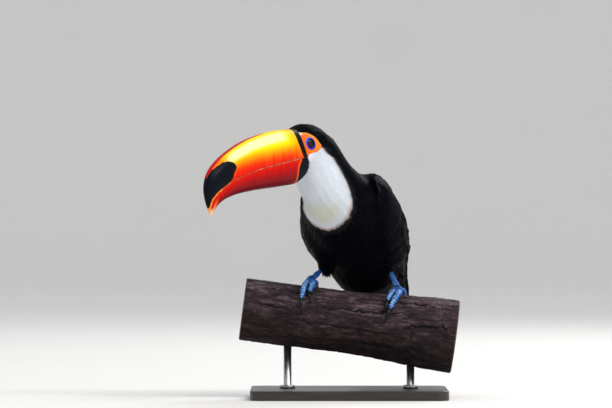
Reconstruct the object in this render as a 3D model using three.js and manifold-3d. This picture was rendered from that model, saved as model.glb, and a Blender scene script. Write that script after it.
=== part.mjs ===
// A toco toucan at life size, leaning forward on a short cut length of branch that a plain display
// stand holds up. Millimetres, +Z up. The bird faces -Y, with its bill swung towards -X, and its
// left side is at +X. The origin is the middle of the stand's underside.
import * as THREE from "three";
import { mergeVertices } from "three/addons/utils/BufferGeometryUtils.js";
import Module from "manifold-3d";

const wasm = await Module();
wasm.setup();

// ---- driving dimensions ----

const GAP = 0.3; // clearance between neighbouring pieces
const BODY_YAW = 18; // degrees that the body faces round from -Y towards -X
const HEAD_YAW = 37; // the same for the head
const HEAD_PITCH = 8; // degrees that the bill points down
const PERCH_TOP = 136; // height of the branch's top at its middle
const PERCH = { length: 272, radius: 40.3, swell: 7, slope: 7.5 };
const BASE = { width: 250, depth: 190, height: 12, corner: 16, bevel: 1.5 };
const ROD = { radius: 5, reach: 78, collar: 10, collarHeight: 4 };
const BILL_BASE = [-74.8, -115, 166.9]; // middle of the bill's root, from the branch's top
const EYE = { along: -19.2, out: 14.3, up: 16.8, radius: 7.4 }; // in the head's own frame
const BODY_X = 2; // where the body's middle plane crosses the branch
const RUMP_SWING = 0.001; // sideways bend of the rump and tail towards +X
const SHOULDER_SLIP = [4, 7]; // how far the left and right shoulders lie towards the left

const radians = (degrees) => (degrees * Math.PI) / 180;
const vector = (x, y, z) => new THREE.Vector3(x, y, z);
const aboveBranch = (x, y, z) => vector(x, y, z + PERCH_TOP);

// Forward, left and up directions of a body part that faces yaw and points down by pitch.
function facing(yaw, pitch = 0) {
  const level = vector(-Math.sin(radians(yaw)), -Math.cos(radians(yaw)), 0);
  const left = vector(0, 0, 1).cross(level).normalize();
  const forward = level.clone().applyAxisAngle(left, radians(pitch));
  return { forward, left, up: forward.clone().cross(left).normalize() };
}

const body = facing(BODY_YAW);
const head = facing(HEAD_YAW, HEAD_PITCH);
const headOrigin = aboveBranch(...BILL_BASE);

// A point of the head from its distances forward, left and up of the bill's root.
const inHead = (along, out, up) =>
  headOrigin
    .clone()
    .addScaledVector(head.forward, along)
    .addScaledVector(head.left, out)
    .addScaledVector(head.up, up);

// A point of the body's middle plane from its distance forward and its height over the branch.
const inBody = (ahead, height) =>
  aboveBranch(BODY_X + RUMP_SWING * Math.min(0, ahead) ** 2, 0, height)
    .addScaledVector(body.forward, ahead);

// ---- making solids ----

// A smooth curve through evenly spaced numbers, read at t from 0 to 1.
function through(numbers) {
  const curve = new THREE.SplineCurve(numbers.map((n, i) => new THREE.Vector2(i, n)));
  return (t) => curve.getPoint(Math.min(1, Math.max(0, t))).y;
}

const spline = (points) => new THREE.CatmullRomCurve3(points, false, "centripetal");

// Rises from 0 to 1 as x goes from low to high.
const rise = (x, low, high) => THREE.MathUtils.smoothstep(x, low, high);

// 1 along a loft's middle, rounding to 0 over the first and last shares of its length.
function dome(t, first, last) {
  const start = t < first ? 1 - t / first : 0;
  const end = t > 1 - last ? 1 - (1 - t) / last : 0;
  return Math.sqrt(Math.max(0, 1 - start * start - end * end));
}

function solidOf(geometry) {
  const bare = geometry.clone();
  bare.deleteAttribute("normal");
  bare.deleteAttribute("uv");
  const merged = mergeVertices(bare, 1e-3);
  const corners = [];
  for (let i = 0; i < merged.index.count; i += 3) {
    const [a, b, c] = [0, 1, 2].map((k) => merged.index.getX(i + k));
    if (a !== b && b !== c && a !== c) corners.push(a, b, c);
  }
  const make = (triVerts) =>
    new wasm.Manifold(
      new wasm.Mesh({
        numProp: 3,
        vertProperties: new Float32Array(merged.attributes.position.array),
        triVerts: new Uint32Array(triVerts),
      }),
    );
  const made = make(corners);
  return made.volume() > 0 ? made : make(corners.reverse());
}

// A closed solid whose skin is place(t, angle, r): t runs along it from 0 to 1, angle round it,
// and r is 1 on the skin and 0 at the middle of either end.
function loft(place, around, along) {
  const drum = new THREE.CylinderGeometry(1, 1, 1, around, along);
  const p = drum.attributes.position;
  for (let i = 0; i < p.count; i++) {
    const [x, y, z] = [p.getX(i), p.getY(i), p.getZ(i)];
    const r = Math.round(Math.hypot(x, z));
    const q = place(0.5 - y, r ? Math.atan2(x, z) : 0, r);
    p.setXYZ(i, q.x, q.y, q.z);
  }
  return solidOf(drum);
}

// A loft of ellipses on a curved spine. Each station is [point, side, up, down] and left(t) points
// out of the body's left; caps are the shares of the length that round off.
function limb(stations, left, caps, around, along, grow = 0) {
  const spine = spline(stations.map((s) => s[0]));
  const [side, up, down] = [1, 2, 3].map((k) => through(stations.map((s) => s[k] + grow)));
  return loft(
    (t, angle, r) => {
      const place = spine.getPoint(t);
      const over = spine.getTangent(t).cross(left(t)).normalize();
      const across = over.clone().cross(spine.getTangent(t));
      const round = r * dome(t, ...caps);
      const high = Math.cos(angle) > 0 ? up(t) : down(t);
      return place
        .addScaledVector(across, Math.sin(angle) * side(t) * round)
        .addScaledVector(over, Math.cos(angle) * high * round);
    },
    around,
    along,
  );
}

// A round tube that tapers through the given radii along a curved spine.
function tube(points, radii, caps, around, along) {
  const stations = points.map((p, i) => [p, radii[i], radii[i], radii[i]]);
  const sideways = points[0].clone().sub(points.at(-1)).cross(vector(0.3, 0.2, 1)).normalize();
  return limb(stations, () => sideways, caps, around, along);
}

// ---- trunk, neck and head: one form, parted with thin cuts ----

const TRUNK = [
  // ahead, height, half width, up, down
  [-88, -3, 26, 8, 20],
  [-64, 24, 44, 18, 41],
  [-38, 53, 52, 34, 44],
  [-8, 80, 57, 46, 49],
  [20, 102, 57, 48, 49],
  [44, 119, 52, 42, 45],
  [62, 132, 40, 26, 34],
];

function trunkForm(grow = 0) {
  const stations = TRUNK.map(([ahead, height, ...sizes]) => [inBody(ahead, height), ...sizes]);
  return limb(stations, () => body.left, [0.1, 0.16], 24, 13, grow);
}

// Where the neck runs, from inside the breast to the crown.
const NECK = [
  // x, y, height, half width, back, front
  [-4, -30, 106, 46, 40, 42],
  [-17, -50, 126, 42, 36, 44],
  [-29, -67, 145, 36, 30, 45],
  [-39, -80, 163, 31.5, 34, 42],
  [-48, -89, 181, 27, 31, 34],
  [-56, -97, 193, 20, 20, 24],
];

function neckForm(grow = 0) {
  const stations = NECK.map(([x, y, z, ...sizes]) => [aboveBranch(x, y, z), ...sizes]);
  const left = (t) => body.left.clone().lerp(head.left, t).normalize();
  return limb(stations, left, [0.1, 0.2], 24, 8, grow);
}

const HEAD = [
  // along, up, half width, up, down
  [-69, 2, 18, 18, 16],
  [-54, 7, 24, 25, 24],
  [-36, 9, 25.5, 31, 28],
  [-18, 6, 22.5, 34, 33],
  [-4, 3, 19.5, 34.5, 33.5],
  [9, 1, 18, 28, 31.5],
];

function headForm() {
  const stations = HEAD.map(([along, up, ...sizes]) => [inHead(along, 0, up), ...sizes]);
  return limb(stations, () => head.left, [0.16, 0], 24, 9);
}

// ---- bill ----

// Profiles in the head's middle plane, [along, up], from the root to the tip.
const CULMEN = [
  [-6, 36.4], [28, 38], [59.5, 37], [90.5, 33.4], [120, 26.2], [146, 16.4], [164, 4.5],
  [173.4, -10.5], [174.4, -26], [169.5, -47],
];
const TOMIUM = [
  [-11, 0], [22, -0.5], [52, -1.5], [82, -3], [108, -6], [130, -10.5], [147, -17],
  [158, -25], [164.5, -34.5], [168.5, -47],
];
const GONYS = [
  [8, -32], [30, -31.2], [54, -30.2], [78, -29], [102, -28.6], [124, -29.4], [142, -32],
  [153, -36], [160, -41], [165, -46],
];
const MAXILLA_HALF = [20.5, 20, 18.5, 17, 15, 13, 10.6, 8, 5.4, 1.6];
const MANDIBLE_HALF = [20, 19.2, 17.6, 16, 14, 12, 9.6, 7, 4.4, 1.2];
const MAXILLA_BULGE = -3;
const MANDIBLE_BULGE = 9;
const BILL_STEPS = 17;

function profile(points) {
  const [along, up] = [0, 1].map((k) => through(points.map((p) => p[k])));
  return (t) => ({ along: along(t), up: up(t) });
}

// Half of a bill: rings between the rounded outer edge and the edge where the halves meet.
// rootBulge is how far the middle of its rear edge reaches back into the face.
function billHalf(outer, inner, halfWidth, rootBulge, grow = 0) {
  const [ridge, edge, wide] = [profile(outer), profile(inner), through(halfWidth)];
  return loft(
    (t, angle, r) => {
      const [a, b] = [ridge(t), edge(t)];
      const [da, du] = [a.along - b.along, a.up - b.up];
      const depth = Math.hypot(da, du);
      // The ring's upper three quarters run over the ridge, and the rest is the flat inside.
      const share = Math.abs(angle) / Math.PI;
      const over = Math.min(1, share / 0.75);
      const inside = Math.max(0, (share - 0.75) / 0.25);
      const high = Math.cos((over * Math.PI) / 2) ** 0.8;
      const out = Math.sin((over * Math.PI) / 2) ** 0.72 * (1 - inside);
      const reach = r * Math.sign(angle) * out * (wide(t) + grow);
      const rest = r ? high : 0.35;
      const lift = rest + (grow / depth) * (2 * rest - 1);
      const atRoot = Math.max(0, 1 - 7 * t) ** 2;
      const back = atRoot * (grow + rootBulge * 4 * rest * (1 - rest));
      return inHead(b.along + da * lift - back, reach, b.up + du * lift);
    },
    18,
    BILL_STEPS,
  );
}

const tomiumBelow = TOMIUM.map(([along, up]) => [along + 0.05, up - GAP]);
const maxillaForm = (grow) => billHalf(CULMEN, TOMIUM, MAXILLA_HALF, MAXILLA_BULGE, grow);
const mandibleForm = (edge, grow) => billHalf(GONYS, edge, MANDIBLE_HALF, MANDIBLE_BULGE, grow);
const maxilla = maxillaForm();
const mandible = mandibleForm(tomiumBelow).subtract(maxillaForm(GAP));
const billGrown = maxillaForm(GAP).add(mandibleForm(TOMIUM, GAP));

// ---- eyes ----

function ball(centre, radius, around = 12) {
  const sphere = new THREE.SphereGeometry(radius, around, Math.round(around * 0.6));
  return solidOf(sphere.rotateX(Math.PI / 2).translate(centre.x, centre.y, centre.z));
}

const eyeAt = (side) => inHead(EYE.along, side * EYE.out, EYE.up);

// ---- wings ----

const WING = [
  // ahead, height, half width, up, upper edge and lower edge in degrees from the back, thickness
  [59, 131, 46, 36, 58, 84, 4],
  [44, 119, 55, 46, 30, 112, 8],
  [20, 102, 59, 51, 13, 126, 8.5],
  [-8, 80, 64, 49, 8, 138, 8],
  [-38, 53, 61, 38, 7, 130, 7],
  [-66, 27, 46, 24, 6, 110, 6],
  [-92, 5, 37, 15, 10, 94, 5],
  [-118, -16, 30, 10, 30, 70, 2.4],
];

// One folded wing: a shell over the trunk's flank that thins to the primaries' tips.
function wingForm(side, grow = 0) {
  const spine = spline(WING.map(([ahead, height]) => inBody(ahead, height)));
  const [half, up, top, low, thick] = [2, 3, 4, 5, 6].map((k) => through(WING.map((w) => w[k])));
  const slip = (t) => SHOULDER_SLIP[side > 0 ? 0 : 1] * (1 - rise(t, 0.1, 0.5));
  return loft(
    (t, angle, r) => {
      const m = Math.cos(angle) * r; // 1 at the upper edge, -1 at the lower edge
      const swing = (m * (low(t) - top(t) + 2 * grow)) / 2;
      const turn = radians((low(t) + top(t)) / 2 - swing);
      const over = body.left.clone().cross(spine.getTangent(t)).normalize();
      const bulge = Math.sign(Math.sin(angle)) * Math.sqrt(Math.max(0, 1 - m * m)) ** 0.7 * r;
      const skin = 0.75 * thick(t) * bulge + grow * Math.sign(bulge);
      return spine
        .getPoint(t)
        .addScaledVector(body.left, side * Math.sin(turn) * (half(t) + skin) + slip(t))
        .addScaledVector(over, Math.cos(turn) * (up(t) + skin));
    },
    16,
    12,
  );
}

// ---- tail ----

const TAIL = { root: [-58, 22], droop: 38, length: 168, halfWidths: [20, 30, 37, 42, 45, 44] };

// The tail: a shallow arch of overlapping vanes, with the two middle ones longest.
function tailForm() {
  const back = body.forward.clone().negate().multiplyScalar(Math.cos(radians(TAIL.droop)));
  back.z = -Math.sin(radians(TAIL.droop));
  const over = back.clone().cross(body.left).negate().normalize();
  const wide = through(TAIL.halfWidths);
  return loft(
    (t, angle, r) => {
      const m = Math.sin(angle) * r;
      const reach = TAIL.length * (t - 0.14 * m * m * rise(t, 0.6, 1));
      const thick = THREE.MathUtils.lerp(6.5, 1.2, t) * Math.cos(angle) * r;
      return inBody(...TAIL.root)
        .addScaledVector(back, reach)
        .addScaledVector(body.left, m * wide(t))
        .addScaledVector(over, thick - 7 * m * m);
    },
    16,
    7,
  );
}

// ---- legs, toes and claws ----

// A point by the branch's skin: s along it, angle in degrees from its top towards the front,
// and clear above the bark.
const branchRadius = (s) => PERCH.radius + PERCH.swell * rise(s, -10, 130);
function onBranch(s, angle, clear) {
  const slope = radians(PERCH.slope);
  const middle = vector(0, 0, PERCH_TOP - PERCH.radius / Math.cos(slope));
  const out = branchRadius(s) + clear;
  return middle
    .addScaledVector(vector(Math.cos(slope), 0, -Math.sin(slope)), s)
    .addScaledVector(vector(Math.sin(slope), 0, Math.cos(slope)), out * Math.cos(radians(angle)))
    .addScaledVector(vector(0, -1, 0), out * Math.sin(radians(angle)));
}

// s is where a leg stands along the branch, and slant how far each toe, in the order of TOES,
// drifts along it to its end. Hips and ankles are measured from the branch's top.
const LEGS = {
  right: { side: -1, s: -55, slant: [-5, -5, 6, 4], hip: [-22, 0, 74], ankle: [-28, 27, 31] },
  left: { side: 1, s: 56, slant: [-13, -7, 8, 5], hip: [34, 8, 66], ankle: [49, 33, 31] },
};
// Two toes reach over the front of the branch and two grip its back. Each starts at the pad, and
// ends and has its claw's tip at these angles round the branch.
const TOES = {
  front_outer: { out: 4.6, end: 60, claw: 82 },
  front_inner: { out: -4.6, end: 43, claw: 63 },
  back_outer: { out: 4.8, end: -52, claw: -73 },
  back_inner: { out: -4.4, end: -34, claw: -52 },
};
const CLAW_SLANT = 4; // how far a claw's tip turns in towards the bird's middle
const PAD = { angle: 6, clear: 7.2, radius: 6.2 };

const pad = (leg) => onBranch(leg.s, PAD.angle, PAD.clear);
const slant = (leg, toe) => leg.slant[Object.values(TOES).indexOf(toe)];

function toePath(leg, toe) {
  const start = PAD.angle + Math.sign(toe.end) * 2;
  return [0, 0.25, 0.5, 0.75, 1].map((k) => {
    const spread = leg.side * toe.out * rise(k, -0.6, 0.35);
    const knuckle = 2.6 * (1 - k) + 3;
    return onBranch(leg.s + spread + slant(leg, toe) * k, start + (toe.end - start) * k, knuckle);
  });
}

function toeForm(leg, toe, grow = 0) {
  const radii = [5, 4.3, 3.9, 3.5, 2.9].map((radius) => radius + grow);
  return tube(toePath(leg, toe), radii, [0.1, 0.09], 8, 6);
}

// A claw grows out of the toe's end, arches up and turns its point down into the bark.
function clawForm(leg, toe) {
  const at = leg.s + leg.side * toe.out + slant(leg, toe);
  const turn = -leg.side * CLAW_SLANT;
  const step = toe.claw - toe.end;
  const path = [
    onBranch(at, toe.end - step * 0.3, 3),
    onBranch(at + turn * 0.1, toe.end + step * 0.15, 4.4),
    onBranch(at + turn * 0.5, toe.end + step * 0.62, 3.8),
    onBranch(at + turn, toe.claw, 0.9),
  ];
  return tube(path, [1.9, 2.2, 1.6, 0.5], [0.08, 0.05], 6, 5);
}

function shankForm(leg, grow = 0) {
  const [top, foot] = [aboveBranch(...leg.ankle), pad(leg)];
  const middle = top.clone().lerp(foot, 0.5).add(vector(0, 0, 1));
  const radii = [3.9, 3.1, 4.4].map((radius) => radius + grow);
  return tube([top, middle, foot], radii, [0.12, 0.12], 10, 6).add(ball(foot, PAD.radius + grow, 9));
}

function thighForm(leg, grow = 0) {
  const [hip, ankle] = [aboveBranch(...leg.hip), aboveBranch(...leg.ankle)];
  const knee = hip.clone().lerp(ankle, 0.5).add(vector(0, -6, 1));
  const end = ankle.clone().sub(vector(0, 2, 12));
  return tube([hip, knee, end], [28 + grow, 22 + grow, 9 + grow], [0.25, 0.14], 14, 8);
}

// ---- branch and stand ----

// A weathered, barkless branch, sawn off square at both ends.
function branchForm(grow = 0) {
  return loft(
    (t, angle, r) => {
      const s = (t - 0.5) * (PERCH.length + 2 * grow);
      const flutes = Math.cos(3 * angle + s / 60) + 0.6 * Math.cos(5 * angle - s / 45 + 2);
      const knot = 3.5 * Math.exp(-(((s - 78) / 16) ** 2)) * Math.max(0, Math.cos(angle - 1.9)) ** 4;
      const out = r * (grow - 0.5 + 0.5 * flutes + knot);
      const turn = (angle * 180) / Math.PI;
      return r ? onBranch(s, turn, out) : onBranch(s, 0, -branchRadius(s));
    },
    24,
    10,
  );
}

function roundedRectangle(width, depth, corner) {
  const [x, y] = [width / 2 - corner, depth / 2 - corner];
  const shape = new THREE.Shape();
  shape.absarc(x, y, corner, 0, Math.PI / 2);
  shape.absarc(-x, y, corner, Math.PI / 2, Math.PI);
  shape.absarc(-x, -y, corner, Math.PI, 1.5 * Math.PI);
  shape.absarc(x, -y, corner, 1.5 * Math.PI, 2 * Math.PI);
  return shape;
}

function baseForm() {
  const { width, depth, height, corner, bevel } = BASE;
  const outline = roundedRectangle(width - 2 * bevel, depth - 2 * bevel, corner - bevel);
  const plate = new THREE.ExtrudeGeometry(outline, {
    depth: height - 2 * bevel,
    bevelSize: bevel,
    bevelThickness: bevel,
    bevelSegments: 1,
    curveSegments: 4,
  });
  return solidOf(plate.translate(0, 0, bevel));
}

// A round rod with a low collar where it meets the base, cut to the branch's underside.
function rodForm(side) {
  const bottom = BASE.height + GAP;
  const top = PERCH_TOP - PERCH.radius;
  const outline = [
    [0, bottom],
    [ROD.collar, bottom],
    [ROD.collar, bottom + ROD.collarHeight - 1],
    [ROD.collar - 1, bottom + ROD.collarHeight],
    [ROD.radius, bottom + ROD.collarHeight],
    [ROD.radius, top],
    [0, top],
  ].map(([r, z]) => new THREE.Vector2(r, z));
  const lathe = new THREE.LatheGeometry(outline, 18);
  return solidOf(lathe.rotateX(Math.PI / 2).translate(side * ROD.reach, 0, 0));
}

// ---- parting and putting together ----

const SIDES = { left: 1, right: -1 };

// Thin cuts across the one form of head, neck and trunk: [a point of the cut, its normal].
const NECK_CUT = [aboveBranch(-14, -46, 122), vector(-0.41, -0.62, 0.67).normalize()];
const HEAD_CUT = [aboveBranch(-37, -80, 162), vector(-0.5, -0.5, 0.7).normalize()];

const ahead = (solid, [point, normal]) =>
  solid.trimByPlane(normal.toArray(), normal.dot(point) + GAP / 2);
const behind = (solid, [point, normal]) =>
  solid.trimByPlane(normal.clone().negate().toArray(), GAP / 2 - normal.dot(point));

// The solid less the others, without the slivers that the cuts leave.
function carve(solid, ...others) {
  const pieces = solid.subtract(wasm.Manifold.union(others)).decompose();
  return pieces.reduce((best, piece) => (piece.volume() > best.volume() ? piece : best));
}

const material = (color, roughness, metalness = 0) =>
  new THREE.MeshStandardMaterial({ color, roughness, metalness });

const BLACK_FEATHERS = "#0c0d11";
const looks = {
  black: () => material(BLACK_FEATHERS, 0.6),
  white: () => material("#e9e5d8", 0.8),
  maxilla: () => material("#f07a16", 0.35),
  mandible: () => material("#c0260f", 0.35),
  foot: () => material("#4f86c6", 0.55),
  claw: () => material("#15161a", 0.4),
  eye: () => material("#0d0a08", 0.05),
  wood: () => material("#4a3833", 0.85),
  plate: () => material("#1d1a18", 0.35),
  steel: () => material("#b4b6b8", 0.3, 1),
};

const toucan = new THREE.Group();
toucan.name = "toucan";

function addNode(name, solid, look) {
  const { numProp, vertProperties, triVerts } = solid.getMesh();
  const places = [];
  for (let i = 0; i < vertProperties.length; i += numProp) {
    places.push(...vertProperties.subarray(i, i + 3));
  }
  const geometry = new THREE.BufferGeometry();
  geometry.setAttribute("position", new THREE.Float32BufferAttribute(places, 3));
  geometry.setIndex(new THREE.BufferAttribute(triVerts, 1));
  geometry.computeVertexNormals();
  const mesh = new THREE.Mesh(geometry, look());
  mesh.name = name;
  toucan.add(mesh);
}

function addHeadNeckAndTrunk() {
  const sockets = Object.values(SIDES).map((side) => ball(eyeAt(side), EYE.radius + GAP));
  const whole = trunkForm().add(neckForm()).add(headForm());
  const form = carve(whole, billGrown, ...sockets);
  addNode("head", carve(ahead(form, HEAD_CUT)), looks.black);
  addNode("neck", ahead(behind(form, HEAD_CUT), NECK_CUT), looks.white);
  addNode("trunk", behind(form, NECK_CUT), looks.black);
}

const trunkClear = trunkForm(GAP).add(neckForm(GAP));
const branchClear = branchForm(GAP);

function addWingsAndTail() {
  for (const [name, side] of Object.entries(SIDES)) {
    addNode(`wing_${name}`, carve(wingForm(side), trunkClear), looks.black);
  }
  const wingsClear = wingForm(1, GAP).add(wingForm(-1, GAP));
  addNode("tail", carve(tailForm(), trunkClear, wingsClear), looks.black);
}

function addLeg(name, leg) {
  const wing = wingForm(leg.side, GAP);
  addNode(`thigh_${name}`, carve(thighForm(leg), trunkClear, wing, branchClear), looks.black);
  const shank = carve(shankForm(leg), thighForm(leg, GAP), trunkClear, wing, branchClear);
  addNode(`shank_${name}`, shank, looks.foot);
  const taken = [shankForm(leg, GAP), branchClear];
  for (const [toeName, toe] of Object.entries(TOES)) {
    addNode(`toe_${name}_${toeName}`, carve(toeForm(leg, toe), ...taken), looks.foot);
    taken.push(toeForm(leg, toe, GAP));
    addNode(`claw_${name}_${toeName}`, carve(clawForm(leg, toe), ...taken), looks.claw);
  }
}

addHeadNeckAndTrunk();
addNode("bill_upper", maxilla, looks.maxilla);
addNode("bill_lower", mandible, looks.mandible);
addWingsAndTail();
for (const [name, leg] of Object.entries(LEGS)) addLeg(name, leg);
for (const [name, side] of Object.entries(SIDES)) {
  addNode(`eye_${name}`, ball(eyeAt(side), EYE.radius), looks.eye);
  addNode(`stand_rod_${name}`, carve(rodForm(side), branchClear), looks.steel);
}
addNode("perch", branchForm(), looks.wood);
addNode("stand_base", baseForm(), looks.plate);

export default toucan;
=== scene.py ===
"""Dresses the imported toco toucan: skin, feathers, bill, eyes, face, feet, branch and stand."""

import math

import bmesh
import bpy
import numpy as np
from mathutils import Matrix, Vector, noise
from mathutils.bvhtree import BVHTree
from mathutils.kdtree import KDTree


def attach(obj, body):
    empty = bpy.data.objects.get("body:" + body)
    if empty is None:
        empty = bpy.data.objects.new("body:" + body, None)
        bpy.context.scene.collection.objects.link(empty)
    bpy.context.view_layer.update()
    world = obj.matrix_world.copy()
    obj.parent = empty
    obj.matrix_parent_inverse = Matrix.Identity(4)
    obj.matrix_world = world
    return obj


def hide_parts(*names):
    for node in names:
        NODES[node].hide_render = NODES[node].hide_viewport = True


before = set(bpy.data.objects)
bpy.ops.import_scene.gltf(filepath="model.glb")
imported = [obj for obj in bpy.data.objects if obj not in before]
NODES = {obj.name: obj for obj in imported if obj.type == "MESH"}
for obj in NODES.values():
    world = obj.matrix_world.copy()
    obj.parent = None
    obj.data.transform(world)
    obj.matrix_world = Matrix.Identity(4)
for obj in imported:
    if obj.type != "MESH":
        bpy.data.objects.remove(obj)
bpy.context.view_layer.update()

MM = 0.001  # sizes are in millimetres, but for the studio's, which are in metres
MERGE = 1e-6  # corners nearer than this, in metres, are one

# ---------------------------------------------------------------- sizes

BODY_YAW = 18
HEAD_YAW = 37
HEAD_PITCH = 8
PERCH_TOP = 136
PERCH = {"length": 272, "radius": 40.3, "swell": 7, "slope": 7.5}
BASE = {"width": 250, "depth": 190, "height": 12, "corner": 16, "bevel": 1.5}
ROD = {"radius": 5, "reach": 78, "collar": 10, "collar_height": 4}
BILL_ROOT = (-74.8, -115, 166.9)
EYE = {"along": -19.2, "out": 14.3, "up": 16.8, "turn": 15}
EYEBALL = 7.9
OPENING = 5.4  # half the width of the eye's opening
LID = 7.2  # where the skin stops being drawn in under the lid
SEAT = 7.4  # where the eye's ring comes to lie on the skin
BODY_X = 2
RUMP_SWING = 0.001
LEFT, RIGHT = 1, -1
SIDE_NAMES = {LEFT: "left", RIGHT: "right"}
SHOULDER_SLIP = {LEFT: 4, RIGHT: 7}

TRUNK_LINE = [(-88, -3), (-64, 24), (-38, 53), (-8, 80), (20, 102), (44, 119)]
NECK_LINE = [(-4, -30, 106), (-17, -50, 126), (-29, -67, 145), (-39, -80, 163), (-48, -89, 181)]

CULMEN = [
    (-6, 36.4), (28, 38), (59.5, 37), (90.5, 33.4), (120, 26.2), (146, 16.4), (164, 4.5),
    (173.4, -10.5), (174.4, -26), (169.5, -47),
]
TOMIUM = [
    (-11, 0), (22, -0.5), (52, -1.5), (82, -3), (108, -6), (130, -10.5), (147, -17),
    (158, -25), (164.5, -34.5), (168.5, -47),
]
GONYS = [
    (8, -32), (30, -31.2), (54, -30.2), (78, -29), (102, -28.6), (124, -29.4), (142, -32),
    (153, -36), (160, -41), (165, -46),
]
MAXILLA_HALF = (20.5, 20, 18.5, 17, 15, 13, 10.6, 8, 5.4, 1.6)
MANDIBLE_HALF = (20, 19.2, 17.6, 16, 14, 12, 9.6, 7, 4.4, 1.2)
MAXILLA_BULGE = -3
MANDIBLE_BULGE = 9
BILL_ROWS = 300

# ahead, height, half width, up, upper and lower edge in degrees from the back, thickness
WING = [
    (59, 131, 46, 36, 58, 84, 4),
    (44, 119, 55, 46, 30, 112, 8),
    (20, 102, 59, 51, 13, 126, 8.5),
    (-8, 80, 64, 49, 8, 138, 8),
    (-38, 53, 61, 38, 7, 130, 7),
    (-66, 27, 46, 24, 6, 110, 6),
    (-92, 5, 37, 15, 10, 94, 5),
    (-118, -16, 30, 10, 30, 70, 2.4),
]
TAIL = {"root": (-58, 22), "droop": 38, "length": 168, "half": (20, 30, 37, 42, 45, 44)}

FLESH = ["head", "neck", "trunk", "wing_left", "wing_right", "thigh_left", "thigh_right"]
TOES = ["front_outer", "front_inner", "back_outer", "back_inner"]

# ---------------------------------------------------------------- curves and places


def facing(yaw, pitch=0):
    """Forward, left and up directions of a body part that faces yaw and points down by pitch."""
    a, b = math.radians(yaw), math.radians(pitch)
    level = np.array([-math.sin(a), -math.cos(a), 0.0])
    left = np.array([math.cos(a), -math.sin(a), 0.0])
    forward = level * math.cos(b) - np.array([0, 0, math.sin(b)])
    return forward, left, np.cross(forward, left)


BODY_FORWARD, BODY_LEFT, _ = facing(BODY_YAW)
HEAD_FORWARD, HEAD_LEFT, HEAD_UP = facing(HEAD_YAW, HEAD_PITCH)
HEAD_ORIGIN = np.array(BILL_ROOT, float) + [0, 0, PERCH_TOP]


def col(values):
    return np.asarray(values, float)[..., None]


def in_head(along, out, up):
    return HEAD_ORIGIN + col(along) * HEAD_FORWARD + col(out) * HEAD_LEFT + col(up) * HEAD_UP


def to_head(points):
    """Distances forward, left and up of the bill's root."""
    away = np.asarray(points, float) - HEAD_ORIGIN
    return away @ HEAD_FORWARD, away @ HEAD_LEFT, away @ HEAD_UP


def in_body(ahead, height):
    swing = BODY_X + RUMP_SWING * np.minimum(0, ahead) ** 2
    start = np.stack([swing, np.zeros_like(swing), PERCH_TOP + np.asarray(height, float)], -1)
    return start + col(ahead) * BODY_FORWARD


def to_body(points):
    """Distances forward and left of the trunk's middle."""
    away = points - in_body(0, 0)
    return away @ BODY_FORWARD, away @ BODY_LEFT


def through(numbers):
    """A smooth curve through evenly spaced numbers, read at t from 0 to 1."""
    n = np.asarray(numbers, float)

    def at(t):
        p = np.clip(t, 0, 1) * (len(n) - 1)
        i = np.floor(p).astype(int)
        w = p - i
        a, b, c, d = (n[np.clip(i + k, 0, len(n) - 1)] for k in (-1, 0, 1, 2))
        m0, m1 = (c - a) / 2, (d - b) / 2
        return ((2 * b - 2 * c + m0 + m1) * w + 3 * c - 3 * b - 2 * m0 - m1) * w * w + m0 * w + b

    return at


def path_through(points):
    axes = [through([p[k] for p in points]) for k in range(len(points[0]))]
    return lambda t: np.stack([axis(t) for axis in axes], -1)


def unit(v):
    return v / np.maximum(np.linalg.norm(v, axis=-1, keepdims=True), 1e-9)


def smoothstep(x, low, high):
    k = np.clip((x - low) / (high - low), 0, 1)
    return k * k * (3 - 2 * k)


def inside_outline(outline, x, y):
    """Signed distance to a closed outline, positive inside it."""
    p = np.stack([x, y], -1)
    best = np.full(p.shape[:-1], 1e9)
    turns = np.zeros(p.shape[:-1])
    for a, b in zip(outline, outline[1:] + outline[:1]):
        a, b = np.array(a, float), np.array(b, float)
        k = np.clip(((p - a) @ (b - a)) / ((b - a) @ (b - a)), 0, 1)
        best = np.minimum(best, np.linalg.norm(p - a - k[..., None] * (b - a), axis=-1))
        crosses = (a[1] > p[..., 1]) != (b[1] > p[..., 1])
        meets = a[0] + (p[..., 1] - a[1]) * (b[0] - a[0]) / (b[1] - a[1] + 1e-12)
        turns += crosses & (p[..., 0] < meets)
    return np.where(turns % 2 == 1, best, -best)


# ---------------------------------------------------------------- making pieces


def in_scene(name, held):
    """A new object in the scene that holds a mesh, a lamp or a camera."""
    made = bpy.data.objects.new(name, held)
    bpy.context.scene.collection.objects.link(made)
    return made


def finish_piece(name, mesh, material, stands_for=(), smooth=True):
    """Adds a mesh as a piece of the model, in place of the CAD nodes that it stands for."""
    mesh.name = name
    mesh.materials.clear()
    mesh.materials.append(material)
    mesh.polygons.foreach_set("use_smooth", [smooth] * len(mesh.polygons))
    piece = in_scene(name, mesh)
    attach(piece, "root")
    if stands_for:
        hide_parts(*stands_for)
    return piece


def add_values(mesh, **named):
    """Numbers and colours held at the mesh's corners, for its finish to read."""
    for name, values in named.items():
        values = np.asarray(values, np.float32)
        kind = "FLOAT" if values.ndim == 1 else "FLOAT_COLOR"
        layer = mesh.attributes.new(name, kind, "POINT")
        if values.ndim == 2:
            values = np.concatenate([values, np.ones((len(values), 1), np.float32)], 1)
            layer.data.foreach_set("color", values.ravel())
        else:
            layer.data.foreach_set("value", values)


def vectors_of(held, key):
    xyz = np.empty(len(held) * 3)
    held.foreach_get(key, xyz)
    return xyz.reshape(-1, 3)


def corners_of(mesh):
    """Where the mesh's corners are, in millimetres."""
    return vectors_of(mesh.vertices, "co") / MM


def normals_of(mesh):
    return vectors_of(mesh.vertex_normals, "vector")


def move_corners(mesh, at):
    """Takes the mesh's corners to these places, in millimetres."""
    mesh.vertices.foreach_set("co", (at * MM).ravel())
    mesh.update()


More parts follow.
